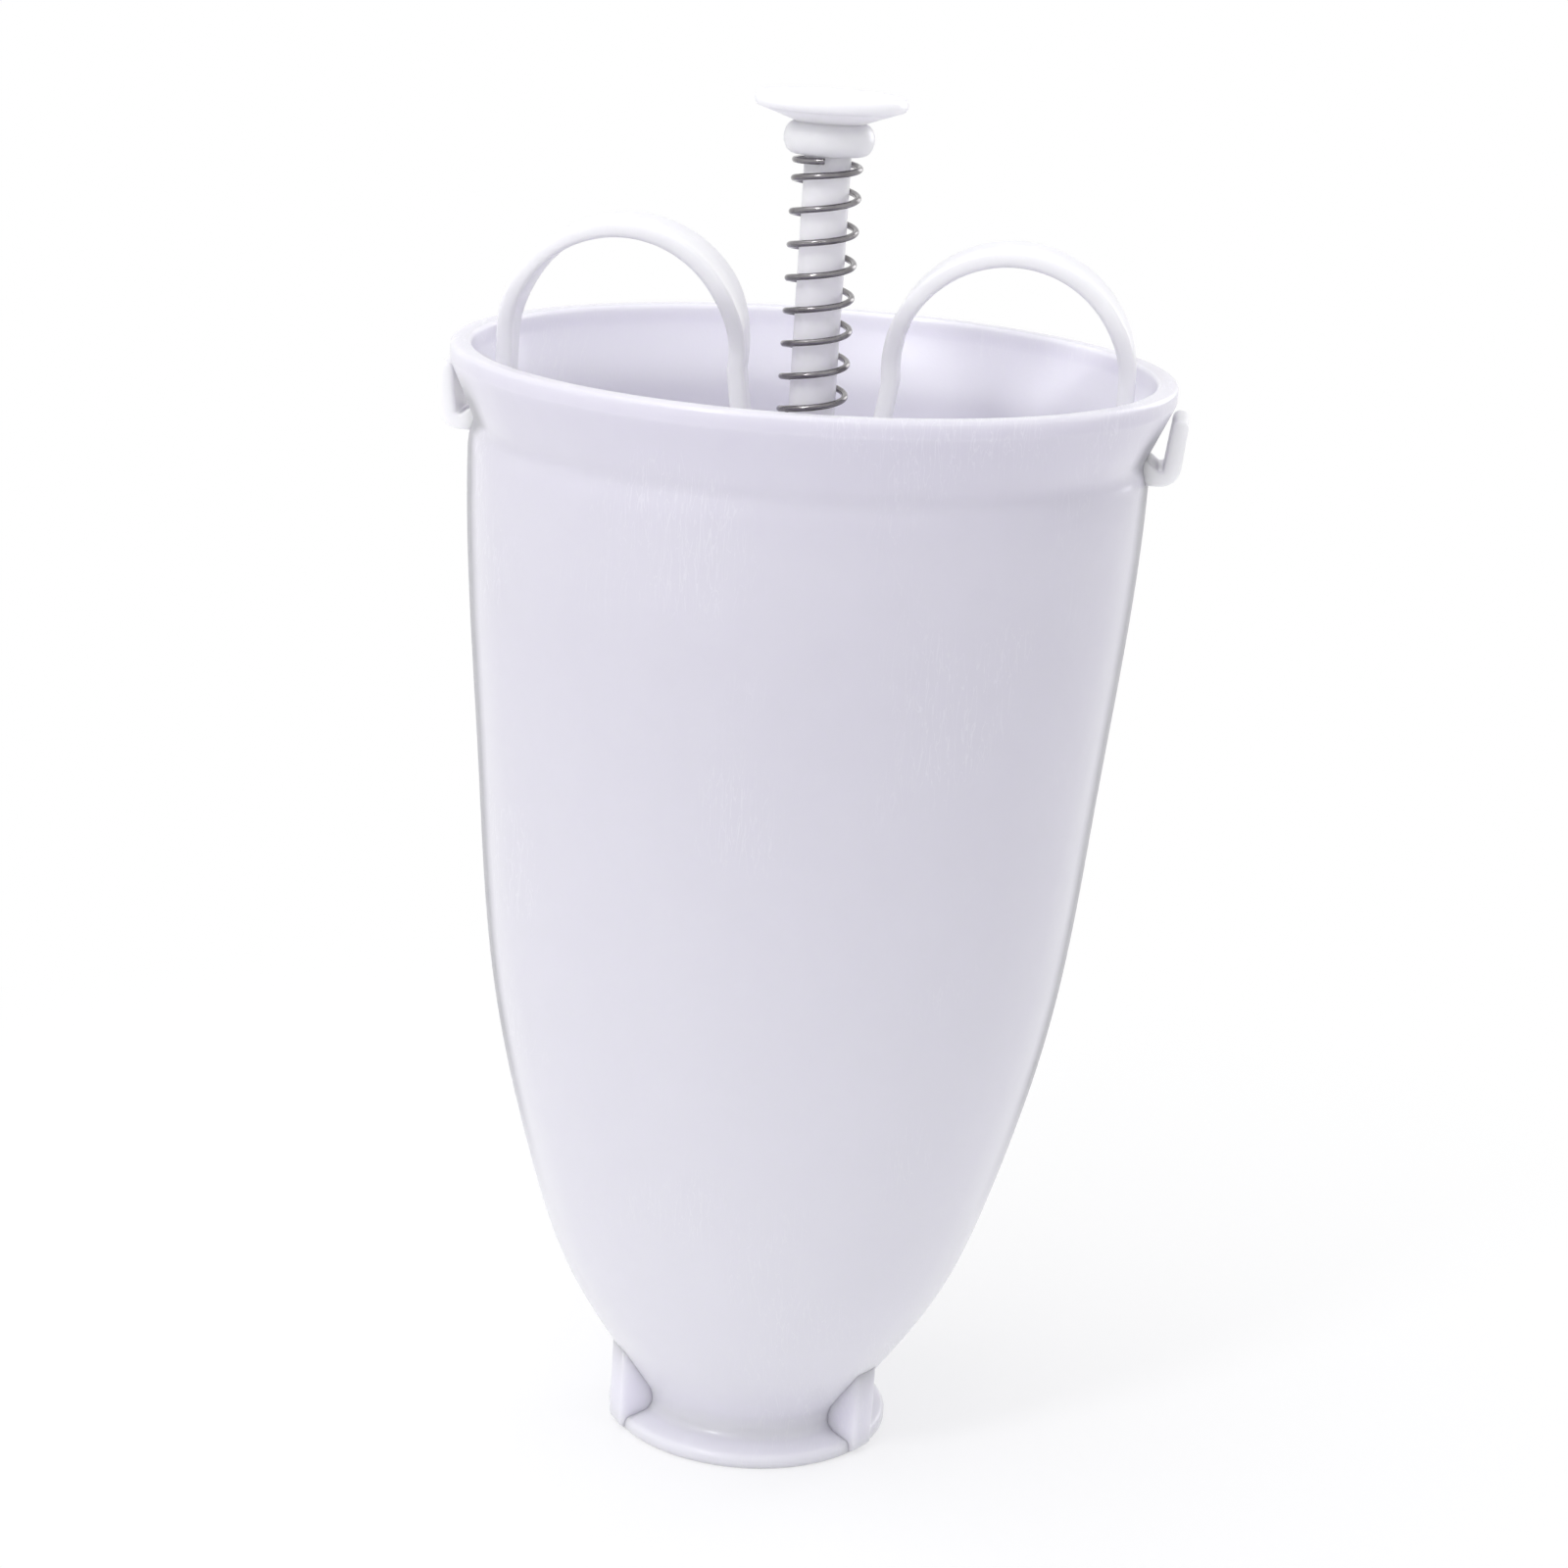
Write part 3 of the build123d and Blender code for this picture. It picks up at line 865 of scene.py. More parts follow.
@dataclass(frozen=True)
class MilkyPlastic:
    """White moulded plastic with some light going through it.

    A span says where a mask rises or falls. side_span and the span of the painted rim highlight are
    on
    Layer Weight's Facing, inside_span is on how far a face looks outwards, and the other spans are
    on the height. The edge is a painted dark reflection: a grey painted where a wall is seen side
    on, from edge_begins up to edge_ends. The painted rim highlight is white mixed in just inside
    that, and the lighter colour inside a wall and towards the foot is painted light.
    """

    colour: Colour
    shade: Colour
    edge: Colour
    painted_light_colour: Colour = (0.9, 0.9, 0.92, 1.0)
    painted_light_inside: float = 0.0
    painted_light_foot: float = 0.0
    inside_span: Span = (-0.6, -0.2)
    foot_span: Span = (0.01, 0.125)
    edge_amount: float = 0.8
    edge_begins: Span = (-1.0, -0.5)
    edge_ends: Span = (9.0, 10.0)
    side_span: Span = (0.77, 0.86)
    painted_rim_highlight: float = 0.1
    rim_highlight_span: Span = (0.62, 0.74)
    roughness: float = 0.31
    coat: float = 0.5
    coat_roughness: float = 0.1
    side_coat_loss: float = 0.9
    refraction: float = 1.45
    through: float = 0.9
    depth: float = 0.005
    depth_tint: Place = (1.0, 0.96, 1.05)
    flow_scale: float = 24.0
    flow_stretch: float = 0.35
    flow_share: float = 0.7
    mottle_scale: float = 216.0
    mottle_share: float = 0.3
    mottle_roughness: float = 0.07
    wave_scale: float = 70.0
    wave_height: float = 0.00005
    grain_scale: float = 2600.0
    scratch_scale: float = 110.0
    scratch_amount: float = 0.5
    scratch_colour: Colour = (0.9, 0.9, 0.92, 1.0)
    scratch_white: float = 0.3
    scratch_roughness: float = 0.22
    scratch_dent: float = 0.12
    scratch_coat_loss: float = 0.35
    speck_spacing: float = 0.017
    speck_radius: float = 0.00022
    speck_share: float = 0.05
    speck_colour: Colour = (0.16, 0.14, 0.12, 1.0)

    def _painted_light_mask(self, w: Wiring, place: Signal, height: Signal) -> Signal:
        """Mask of painted light: a lighter colour painted inside a wall and towards the foot, for
        light there.

        Args:
            w: Wiring of the material.
            place: Object coordinates, an output of its Texture Coordinate node.
            height: Their height.

        Returns:
            The mask.
        """
        outwards = w.vector("NORMALIZE", w.vector("MULTIPLY", place, (1.0, 1.0, 0.0)))
        turned_out = w.vector("DOT_PRODUCT", outwards, place["Normal"])["Value"]
        inside = turned_out.remap(*self.inside_span, self.painted_light_inside, 0.0)
        return w.math("MAXIMUM", inside, height.remap(*self.foot_span, self.painted_light_foot, 0.0))

    def material(self, name: str, groups: FinishGroups) -> bpy.types.Material:
        """Builds the finish as a material.

        Args:
            name: The material's name.
            groups: The shared node groups.

        Returns:
            The material.
        """
        material = bpy.data.materials.new(name)
        w = emptied(material)
        place = w.add("ShaderNodeTexCoord")["Object"]
        height = w.add("ShaderNodeSeparateXYZ", {0: place})["Z"]
        grazing = w.add("ShaderNodeLayerWeight", {"Blend": 0.5})["Facing"]
        flow = w.group(groups.clouds, place, Scale=self.flow_scale, Stretch=self.flow_stretch)
        mottle = w.group(groups.clouds, place, Scale=self.mottle_scale, Stretch=1.0)
        rubs = {"Scale": self.scratch_scale, "Amount": self.scratch_amount}
        scratches = w.group(groups.scratches, place, **rubs)
        size = {"Spacing": self.speck_spacing, "Radius": self.speck_radius}
        specks = w.group(groups.specks, place, Share=self.speck_share, **size)
        skin = w.group(groups.skin, place, Wave=self.wave_scale, Grain=self.grain_scale)
        tone = flow * self.flow_share + mottle * self.mottle_share
        # Painted light: a lighter colour mixed in inside the wall and towards the foot, standing in
        # for light that reaches there.
        painted_light = self._painted_light_mask(w, place, height)
        cloudy = w.mix(painted_light, w.mix(tone, self.colour, self.shade), self.painted_light_colour)
        rubbed = w.mix(scratches * self.scratch_white, cloudy, self.scratch_colour)
        speckled = w.mix(specks, rubbed, self.speck_colour)
        # Painted highlight: white mixed in where a face turns away from the camera, just inside the
        # silhouette.
        rim_highlighted = w.mix(grazing.remap(*self.rim_highlight_span) * self.painted_rim_highlight, speckled, WHITE)
        # Painted dark reflection: where a wall is seen side on, the edge grey is mixed into its
        # colour.
        raised = height.remap(*self.edge_begins) * height.remap(*self.edge_ends, 1.0, 0.0)
        side_on = grazing.remap(*self.side_span) * raised
        uneven = w.math("MULTIPLY_ADD", mottle, self.mottle_roughness, self.roughness)
        dent = w.math("MULTIPLY_ADD", scratches, -self.scratch_dent, skin)
        worn_coat = w.math("MULTIPLY_ADD", scratches, -self.scratch_coat_loss, self.coat)
        side_coat = w.math("MULTIPLY_ADD", side_on, -self.side_coat_loss, 1.0)
        bump = {"Strength": 1.0, "Distance": self.wave_height, "Height": dent}
        surface = w.add(
            "ShaderNodeBsdfPrincipled",
            {
                "Base Color": w.mix(side_on * self.edge_amount, rim_highlighted, self.edge),
                "Roughness": w.math("MULTIPLY_ADD", scratches, self.scratch_roughness, uneven),
                "IOR": self.refraction,
                "Subsurface Weight": self.through,
                "Subsurface Radius": self.depth_tint,
                "Subsurface Scale": self.depth,
                "Coat Weight": w.math("MULTIPLY", worn_coat, side_coat, clamp=True),
                "Coat Roughness": self.coat_roughness,
                "Coat IOR": self.refraction,
                "Normal": w.add("ShaderNodeBump", bump),
            },
        )
        w.node("ShaderNodeOutputMaterial", {"Surface": surface})
        return material


@dataclass(frozen=True)
class DrawnSteel:
    """Bare spring wire, drawn through a die, a little dulled."""

    colour: Colour
    dull: Colour
    roughness: float = 0.07
    dull_roughness: float = 0.1
    lines_round: float = 26.0
    lines_per_turn: float = 3.0
    line_share: float = 0.4
    line_span: Span = (0.35, 0.65)
    line_height: float = 0.000012
    line_strength: float = 0.6
    cloud_scale: float = 260.0
    cloud_share: float = 0.8
    speck_spacing: float = 0.0016
    speck_radius: float = 0.00012
    speck_share: float = 0.18
    speck_colour: Colour = (0.05, 0.045, 0.04, 1.0)

    def material(self, name: str, groups: FinishGroups) -> bpy.types.Material:
        """Builds the finish as a material.

        Args:
            name: The material's name.
            groups: The shared node groups.

        Returns:
            The material.
        """
        material = bpy.data.materials.new(name)
        w = emptied(material)
        place = w.add("ShaderNodeTexCoord")["Object"]
        around = w.add("ShaderNodeAttribute", attribute_name="wire_round")["Fac"]
        run = w.add("ShaderNodeAttribute", attribute_name="wire_run")["Fac"]
        unrolled = {0: around * self.lines_round, 1: run * self.lines_per_turn}
        drawn = w.noise(w.add("ShaderNodeCombineXYZ", unrolled), scale=1.0, detail=3.0)
        lines = drawn.remap(*self.line_span)
        dulled = w.group(groups.clouds, place, Scale=self.cloud_scale, Stretch=1.0)
        size = {"Spacing": self.speck_spacing, "Radius": self.speck_radius}
        specks = w.group(groups.specks, place, Share=self.speck_share, **size)
        tone = w.math("MAXIMUM", dulled * self.cloud_share, lines * self.line_share)
        bump = {"Strength": self.line_strength, "Distance": self.line_height, "Height": lines}
        surface = w.add(
            "ShaderNodeBsdfPrincipled",
            {
                "Base Color": w.mix(specks, w.mix(tone, self.colour, self.dull), self.speck_colour),
                "Metallic": 1.0,
                "Roughness": w.math("MULTIPLY_ADD", tone, self.dull_roughness, self.roughness),
                "Normal": w.add("ShaderNodeBump", bump),
            },
        )
        w.node("ShaderNodeOutputMaterial", {"Surface": surface})
        return material


FINISHES = {
    # The hopper's lighter colour inside the wall and towards the foot is painted light; each
    # finish's edge grey is a painted dark reflection at the silhouettes.
    Slot.HOPPER: MilkyPlastic(
        colour=(0.64, 0.625, 0.69, 1.0),
        shade=(0.62, 0.605, 0.67, 1.0),
        painted_light_colour=(0.85, 0.835, 0.925, 1.0),
        painted_light_inside=0.8,
        painted_light_foot=0.6,
        edge=(0.28, 0.28, 0.295, 1.0),
        edge_begins=(0.035, 0.06),
        edge_ends=(0.152, 0.156),
        coat=0.35,
    ),
    Slot.HANDLE: MilkyPlastic(
        colour=(0.92, 0.905, 0.96, 1.0),
        shade=(0.90, 0.885, 0.94, 1.0),
        edge=(0.7, 0.7, 0.73, 1.0),
        edge_amount=0.4,
    ),
    Slot.PLUNGER: MilkyPlastic(
        colour=(0.91, 0.895, 0.96, 1.0),
        shade=(0.89, 0.875, 0.94, 1.0),
        edge=(0.6, 0.6, 0.63, 1.0),
        edge_amount=0.5,
        depth=0.004,
    ),
    Slot.SPRING: DrawnSteel(colour=(0.30, 0.29, 0.30, 1.0), dull=(0.13, 0.12, 0.125, 1.0)),
}


# ---------------------------------------------------------------------------------------------
# Sub-assemblies
# ---------------------------------------------------------------------------------------------


@dataclass
class Workshop:
    """What every sub-assembly needs: the shape trees and the finishes."""

    trees: ShapeTrees
    finishes: dict[Slot, bpy.types.Material]

    def turn(
        self, name: str, outline: list[Point], faces: int, finish: Slot, closed: bool = True
    ) -> bpy.types.Mesh:
        """Turns an outline round the Z axis.

        Args:
            name: Name of the mesh.
            outline: Points as distance from the axis and height, in millimetres.
            faces: Faces in one turn.
            finish: The slot whose finish it gets.
            closed: Whether the outline's end joins its start, as round a hollow piece.

        Returns:
            The mesh.
        """
        inputs = {"Faces Round": faces, "Closed Outline": closed, "Finish": self.finishes[finish]}
        return grown(name, line_mesh(outline, closed), self.trees.turned, inputs)

    def repeat(
        self, name: str, one: bpy.types.Mesh, finish: Slot, count: int = 2, first: float = 0.0
    ) -> bpy.types.Mesh:
        """Repeats a mesh round the Z axis.

        Args:
            name: Name of the mesh.
            one: One copy, where it stands at angle 0; it is removed.
            finish: The slot whose finish it gets.
            count: How many copies there are.
            first: Angle of the first copy, in degrees.

        Returns:
            The mesh of all copies.
        """
        angle = math.radians(first)
        inputs = {"Count": count, "First Angle": angle, "Finish": self.finishes[finish]}
        return grown(name, one, self.trees.ring, inputs)


@dataclass
class Hopper:
    """The hopper: body with collar and lip, three webs at the outlet, two hooks and two ledges."""

    rim_radius: float = 50.0
    rim_height: float = RIM_HEIGHT
    lip_width: float = 2.9
    lip_depth: float = 2.4
    lip_rounding: float = 0.7
    groove_inset: float = 3.75
    groove_drop: float = 10.9
    body_top_inset: float = 2.9
    body_top_drop: float = 13.4
    shoulder_drop: float = 13.2
    lip_bend: float = 0.8
    groove_bend: float = 3.0
    shoulder_bend: float = 6.0
    bead_ease: float = 0.15
    bead_end: float = 139.0
    wall: float = 1.7
    body_levels: tuple[Point, ...] = ((0.606, 0.172), (0.72, 0.274), (0.858, 0.459), (0.934, 0.688))
    flare_way: Point = (0.571, 0.821)
    bore_radius: float = 15.15
    bore_height: float = 8.0
    bore_foot_rounding: float = 0.35
    bore_top_rounding: float = 1.5
    flare_rounding: float = 0.6
    neck_wall: float = 1.35
    neck_height: float = 6.0
    flare_spread: float = 2.7
    flare_height: float = 9.9
    ring_spread: float = 4.1
    ring_edge: float = 2.1
    ring_height: float = 3.3
    ring_rounding: float = 1.0
    ring_fillet: float = 1.8
    neck_rounding: float = 4.0
    web_count: int = 3
    web_first_angle: float = 90.0
    web_thickness: float = 4.6
    web_spread: float = 4.8
    web_foot: float = 0.5
    web_foot_rounding: float = 1.0
    web_top: float = 13.4
    web_rim: float = 0.55
    web_rim_steps: int = 5
    web_bury: float = 0.25
    hook_width: float = 10.0
    hook_spread: float = 1.9
    hook_lean: float = 0.8
    hook_thickness: float = 2.2
    hook_top_drop: float = 4.1
    hook_bottom_drop: float = 13.4
    hook_bend: float = 2.9
    hook_tip: float = 1.05
    hook_root_inset: float = 4.55
    hook_slot: float = 1.3
    hook_gusset: float = 2.1
    slot_rounding: float = 0.3
    hook_rim: float = 0.5
    hook_rim_steps: int = 4
    ledge_top: float = 143.4
    ledge_reach: float = 2.2
    ledge_width: float = 12.0
    ledge_thickness: float = 2.0
    ledge_rounding: float = 0.5
    ledge_rim: float = 0.3
    steps_per_level: int = 14
    degrees_per_step: float = 12.0
    faces_round: int = 192

    def outside_curve(self) -> list[Point]:
        """The body's outside, from the flare over the neck up to the shoulder.

        Returns:
            The points, distance from the axis and height in millimetres.
        """
        flare = (self.bore_radius + self.neck_wall + self.flare_spread, self.flare_height)
        body_top = self.rim_radius - self.body_top_inset
        top_height = self.rim_height - self.body_top_drop
        levels = [(body_top * out, top_height * up) for out, up in self.body_levels]
        points = [flare, *levels, (body_top, top_height)]
        return curve_through(points, self.flare_way, (0.0, 1.0), self.steps_per_level)

    def inside_curve(self) -> list[Point]:
        """The wall's inside, from under the lip over the groove's bead down to the flare.

        Returns:
            The points, distance from the axis and height in millimetres.
        """
        wall_face = reversed(set_off(self.outside_curve(), self.wall))
        down = [spot for spot in wall_face if spot[1] < self.bead_end]
        lip = (self.rim_radius - self.lip_width, self.rim_height - self.lip_depth)
        bead_radius = self.rim_radius - self.groove_inset - self.wall + self.bead_ease
        bead = (bead_radius, self.rim_height - self.groove_drop)
        # Half the way down from the bead, two thirds of its swell are gone.
        below = ((bead[0] + 2 * down[0][0]) / 3, (bead[1] + down[0][1]) / 2)
        start = (Vector(bead) - Vector(lip)).normalized()
        end = (Vector(down[1]) - Vector(down[0])).normalized()
        points = [lip, bead, below, down[0]]
        return curve_through(points, tuple(start), tuple(end), self.steps_per_level)[1:] + down[1:]

    def shell_outline(self) -> list[Point]:
        """Outline of the wall's section, up the outside and down the inside.

        Returns:
            The points, distance from the axis and height in millimetres.
        """
        neck = self.bore_radius + self.neck_wall
        ring = neck + self.ring_spread
        rim, top = self.rim_radius, self.rim_height
        lip_bottom = top - self.lip_depth
        inside = self.inside_curve()
        corners = [
            Corner(self.bore_radius, 0.0, self.bore_foot_rounding),
            Corner(ring, 0.0, self.ring_rounding),
            Corner(ring, self.ring_edge, self.ring_rounding),
            Corner(neck, self.ring_height, self.ring_fillet),
            Corner(neck, self.neck_height, self.neck_rounding),
            *[Corner(*spot) for spot in self.outside_curve()[:-1]],
            Corner(rim - self.body_top_inset, top - self.shoulder_drop, self.shoulder_bend),
            Corner(rim - self.groove_inset, top - self.groove_drop, self.groove_bend),
            Corner(rim, lip_bottom, self.lip_bend),
            Corner(rim, top, self.lip_rounding),
            Corner(rim - self.lip_width, top, self.lip_rounding),
            Corner(rim - self.lip_width, lip_bottom),
            *[Corner(*spot) for spot in inside[:-1]],
            Corner(*inside[-1], self.flare_rounding),
            Corner(self.bore_radius, self.bore_height, self.bore_top_rounding),
        ]
        return rounded_outline(corners, degrees_per_step=self.degrees_per_step)

    def web(self) -> bpy.types.Mesh:
        """One web from the foot ring up the flare, on the +X side.

        Returns:
            The mesh; its inner side and its top stay inside the wall.
        """
        root = self.bore_radius + self.web_bury
        reach = self.bore_radius + self.neck_wall + self.web_spread
        in_wall = set_off(self.outside_curve(), self.wall - self.web_bury)
        corners = [
            Corner(root, self.web_foot),
            Corner(reach, self.web_foot, self.web_foot_rounding),
            Corner(reach, self.web_top),
            *[Corner(*spot) for spot in reversed(in_wall) if spot[1] < self.web_top],
            Corner(root, self.bore_height),
        ]
        return upright_slab(corners, self.web_thickness, self.web_rim, self.web_rim_steps)

    def hook(self) -> bpy.types.Mesh:
        """One J-shaped hook, on the +X side.

        Returns:
            The mesh; its root stays inside the wall.
        """
        top = self.rim_height - self.hook_top_drop
        bottom = self.rim_height - self.hook_bottom_drop
        reach = self.rim_radius + self.hook_spread
        floor = bottom + self.hook_thickness
        foot = reach - self.hook_lean
        root = self.rim_radius - self.hook_root_inset
        corners = [
            Corner(root, bottom),
            Corner(foot, bottom, self.hook_bend),
            Corner(reach, top, self.hook_tip),
            Corner(reach - self.hook_thickness, top, self.hook_tip),
            Corner(foot - self.hook_thickness, floor, self.slot_rounding),
            Corner(foot - self.hook_thickness - self.hook_slot / 2, floor, self.slot_rounding),
            Corner(root, floor + self.hook_gusset),
        ]
        return upright_slab(corners, self.hook_width, self.hook_rim, self.hook_rim_steps)

    def ledge(self) -> bpy.types.Mesh:
        """One ledge that the crossbar rests on, on the +X side.

        Returns:
            The mesh; its root stays inside the wall.
        """
        wall_face = self.rim_radius - self.body_top_inset - self.wall
        root = wall_face + self.wall / 2
        tip = wall_face - self.ledge_reach
        low = self.ledge_top - self.ledge_thickness
        corners = [
            Corner(root, low - self.ledge_reach),
            Corner(root, self.ledge_top),
            Corner(tip, self.ledge_top, self.ledge_rounding),
            Corner(tip, low, self.ledge_rounding),
        ]
        return upright_slab(corners, self.ledge_width, self.ledge_rim)

    def build(self, shop: Workshop) -> list[bpy.types.Object]:
        """Builds the hopper's pieces; the hooks get the handle's whiter finish, as painted light.

        Args:
            shop: The shape trees and finishes.

        Returns:
            The pieces.
        """
        # Painted light: the hooks, part of the hopper, take the handle's whiter finish to read
        # lighter.
        wall, painted_lighter = Slot.HOPPER, Slot.HANDLE
        webs = self.web_count, self.web_first_angle
        shell = shop.turn("hopper_shell", self.shell_outline(), self.faces_round, wall)
        meshes = {
            "hopper_shell": (shell, wall),
            "outlet_webs": (shop.repeat("outlet_webs", self.web(), wall, *webs), wall),
            "side_hooks": (shop.repeat("side_hooks", self.hook(), painted_lighter), painted_lighter),
            "bar_ledges": (shop.repeat("bar_ledges", self.ledge(), wall), wall),
        }
        return [
            put(name, mesh, shop.finishes[finish], HOPPER_BODY, "hopper")
            for name, (mesh, finish) in meshes.items()
        ]


@dataclass
class HandleBridge:
    """Two finger loops on a crossbar, with the guide for the rod in the crossbar's middle."""

    rim_height: float = RIM_HEIGHT
    strap_thickness: float = 2.35
    strap_rounding: float = 0.6
    inner_leg_x: float = 10.53
    outer_leg_x: float = 42.93
    loop_centre_drop: float = 0.2
    leg_lean: float = 8.0
    crown_depth: float = 12.6
    leg_depth: float = 5.8
    leg_foot_depth: float = 5.6
    crown_shoulder_rise: float = 9.5
    leg_shoulder_rise: float = -1.0
    leg_step_drop: float = 1.8
    step_blend: float = 0.8
    bar_top: float = BAR_TOP
    bar_thickness: float = 3.0
    bar_depth: float = 9.0
    bar_reach: float = 45.1
    bar_end_steps: int = 12
    bar_rim: float = 0.4
    bar_overlap: float = 0.5
    rib_thickness: float = 2.0
    rib_depth: float = 4.0
    rib_reach: float = 41.7
    rib_start: float = 1.0
    rib_rounding: float = 0.8
    rib_rim: float = 0.3
    guide_radius: float = 6.0
    guide_bore: float = 3.28
    guide_bottom: float = 134.4
    guide_bore_rounding: float = 0.3
    guide_rounding: float = 0.5
    guide_faces: int = 64
    hole_gap: float = 0.02
    path_step: float = 0.5

    def half_depth(self, height: float) -> float:
        """Half the strap's depth at a height.

        Args:
            height: Height in millimetres.

        Returns:
            Half the depth in millimetres.
        """
        step = self.rim_height - self.leg_step_drop
        shoulder = self.rim_height + self.leg_shoulder_rise
        crown = self.rim_height + self.crown_shoulder_rise
        at_step = eased(height, step - self.step_blend, step + self.step_blend)
        depth = self.leg_foot_depth + (self.leg_depth - self.leg_foot_depth) * at_step
        depth += (self.crown_depth - self.leg_depth) * eased(height, shoulder, crown)
        return depth / 2

    def loop_path(self) -> list[Point]:
        """Middle of the right-hand strap, up the inner leg, over the crown and down the outer leg.

        Returns:
            The points, X and Z in millimetres.
        """
        radius = (self.outer_leg_x - self.inner_leg_x) / 2
        centre_x = self.inner_leg_x + radius
        centre_z = self.rim_height - self.loop_centre_drop
        foot = self.bar_top - self.bar_thickness / 2
        lean = math.radians(self.leg_lean)
        lean_x = centre_x - radius * math.cos(lean)
        lean_z = centre_z - radius * math.sin(lean)
        foot_x = lean_x - (lean_z - foot) * math.tan(lean)
        rise = round((lean_z - foot) / self.path_step)
        leg = [
            (foot_x + (lean_x - foot_x) * i / rise, foot + (lean_z - foot) * i / rise)
            for i in range(rise)
        ]
        sweep = math.pi + lean
        steps = round(sweep * radius / self.path_step)
        angles = [sweep * i / steps - lean for i in range(steps)]
        crown = [(centre_x - radius * math.cos(a), centre_z + radius * math.sin(a)) for a in angles]
        fall = round((centre_z - foot) / self.path_step)
        outer = [
            (self.outer_leg_x, centre_z - (centre_z - foot) * i / fall) for i in range(fall + 1)
        ]
        return leg + crown + outer

    def loops(self, shop: Workshop) -> bpy.types.Mesh:
        """Both finger loops.

        Args:
            shop: The shape trees and finishes.

        Returns:
            The mesh.
        """
        path = self.loop_path()
        seed = line_mesh(path)
        draw_in = [(self.crown_depth / 2 - self.half_depth(up)) * MM for _, up in path]
        seed.attributes.new("draw_in", "FLOAT", "POINT").data.foreach_set("value", draw_in)
        inputs = {
            "Thickness": self.strap_thickness * MM,
            "Depth": self.crown_depth * MM,
            "Rounding": self.strap_rounding * MM,
            "Finish": shop.finishes[Slot.HANDLE],
        }
        one = grown("finger_loop", seed, shop.trees.strap, inputs)
        return shop.repeat("finger_loops", one, Slot.HANDLE)

    def crossbar(self, shop: Workshop) -> bpy.types.Mesh:
        """The crossbar with its ribs and the guide under it.

        Args:
            shop: The shape trees and finishes.

        Returns:
            The mesh.
        """
        half = self.bar_depth / 2
        end_angle = math.asin(half / self.bar_reach)
        steps = self.bar_end_steps
        arc = [end_angle * (2 * i / steps - 1) for i in range(steps + 1)]
        end = [(self.bar_reach * math.cos(a), self.bar_reach * math.sin(a)) for a in arc[1:-1]]
        end_x = self.bar_reach * math.cos(end_angle)
        right = [(end_x, -half), *end, (end_x, half)]
        outline = [*right, *((-x, -y) for x, y in right)]
        bore = self.guide_bore + self.hole_gap
        turns = np.linspace(0, math.tau, self.guide_faces, endpoint=False)
        hole = [(bore * math.cos(-a), bore * math.sin(-a)) for a in turns]
        under = self.bar_top - self.bar_thickness
        lines = [rounded_outline([Corner(*spot) for spot in outline]), hole]
        bar = slab(lines, Plane.LEVEL, under, self.bar_top, self.bar_rim)
        root, start = under + self.bar_overlap, self.guide_bore + self.rib_start
        rib_corners = [
            Corner(start, under - self.rib_depth),
            Corner(self.rib_reach, under - self.rib_depth, self.rib_rounding),
            Corner(self.rib_reach, root),
            Corner(start, root),
        ]
        rib = upright_slab(rib_corners, self.rib_thickness, self.rib_rim)
        tube = [
            Corner(self.guide_bore, self.guide_bottom, self.guide_bore_rounding),
            Corner(self.guide_radius, self.guide_bottom, self.guide_rounding),
            Corner(self.guide_radius, root),
            Corner(self.guide_bore, root),
        ]
        ribs = shop.repeat("ribs", rib, Slot.HANDLE)
        guide = shop.turn("guide", rounded_outline(tube), self.guide_faces, Slot.HANDLE)
        return joined([bar, ribs, guide])

    def build(self, shop: Workshop) -> list[bpy.types.Object]:
        """Builds the handle's pieces.

        Args:
            shop: The shape trees and finishes.

        Returns:
            The pieces.
        """
        finish = shop.finishes[Slot.HANDLE]
        meshes = {"finger_loops": self.loops(shop), "crossbar": self.crossbar(shop)}
        return [
            put(name, mesh, finish, HOPPER_BODY, "handle_bridge")
            for name, mesh in meshes.items()
        ]


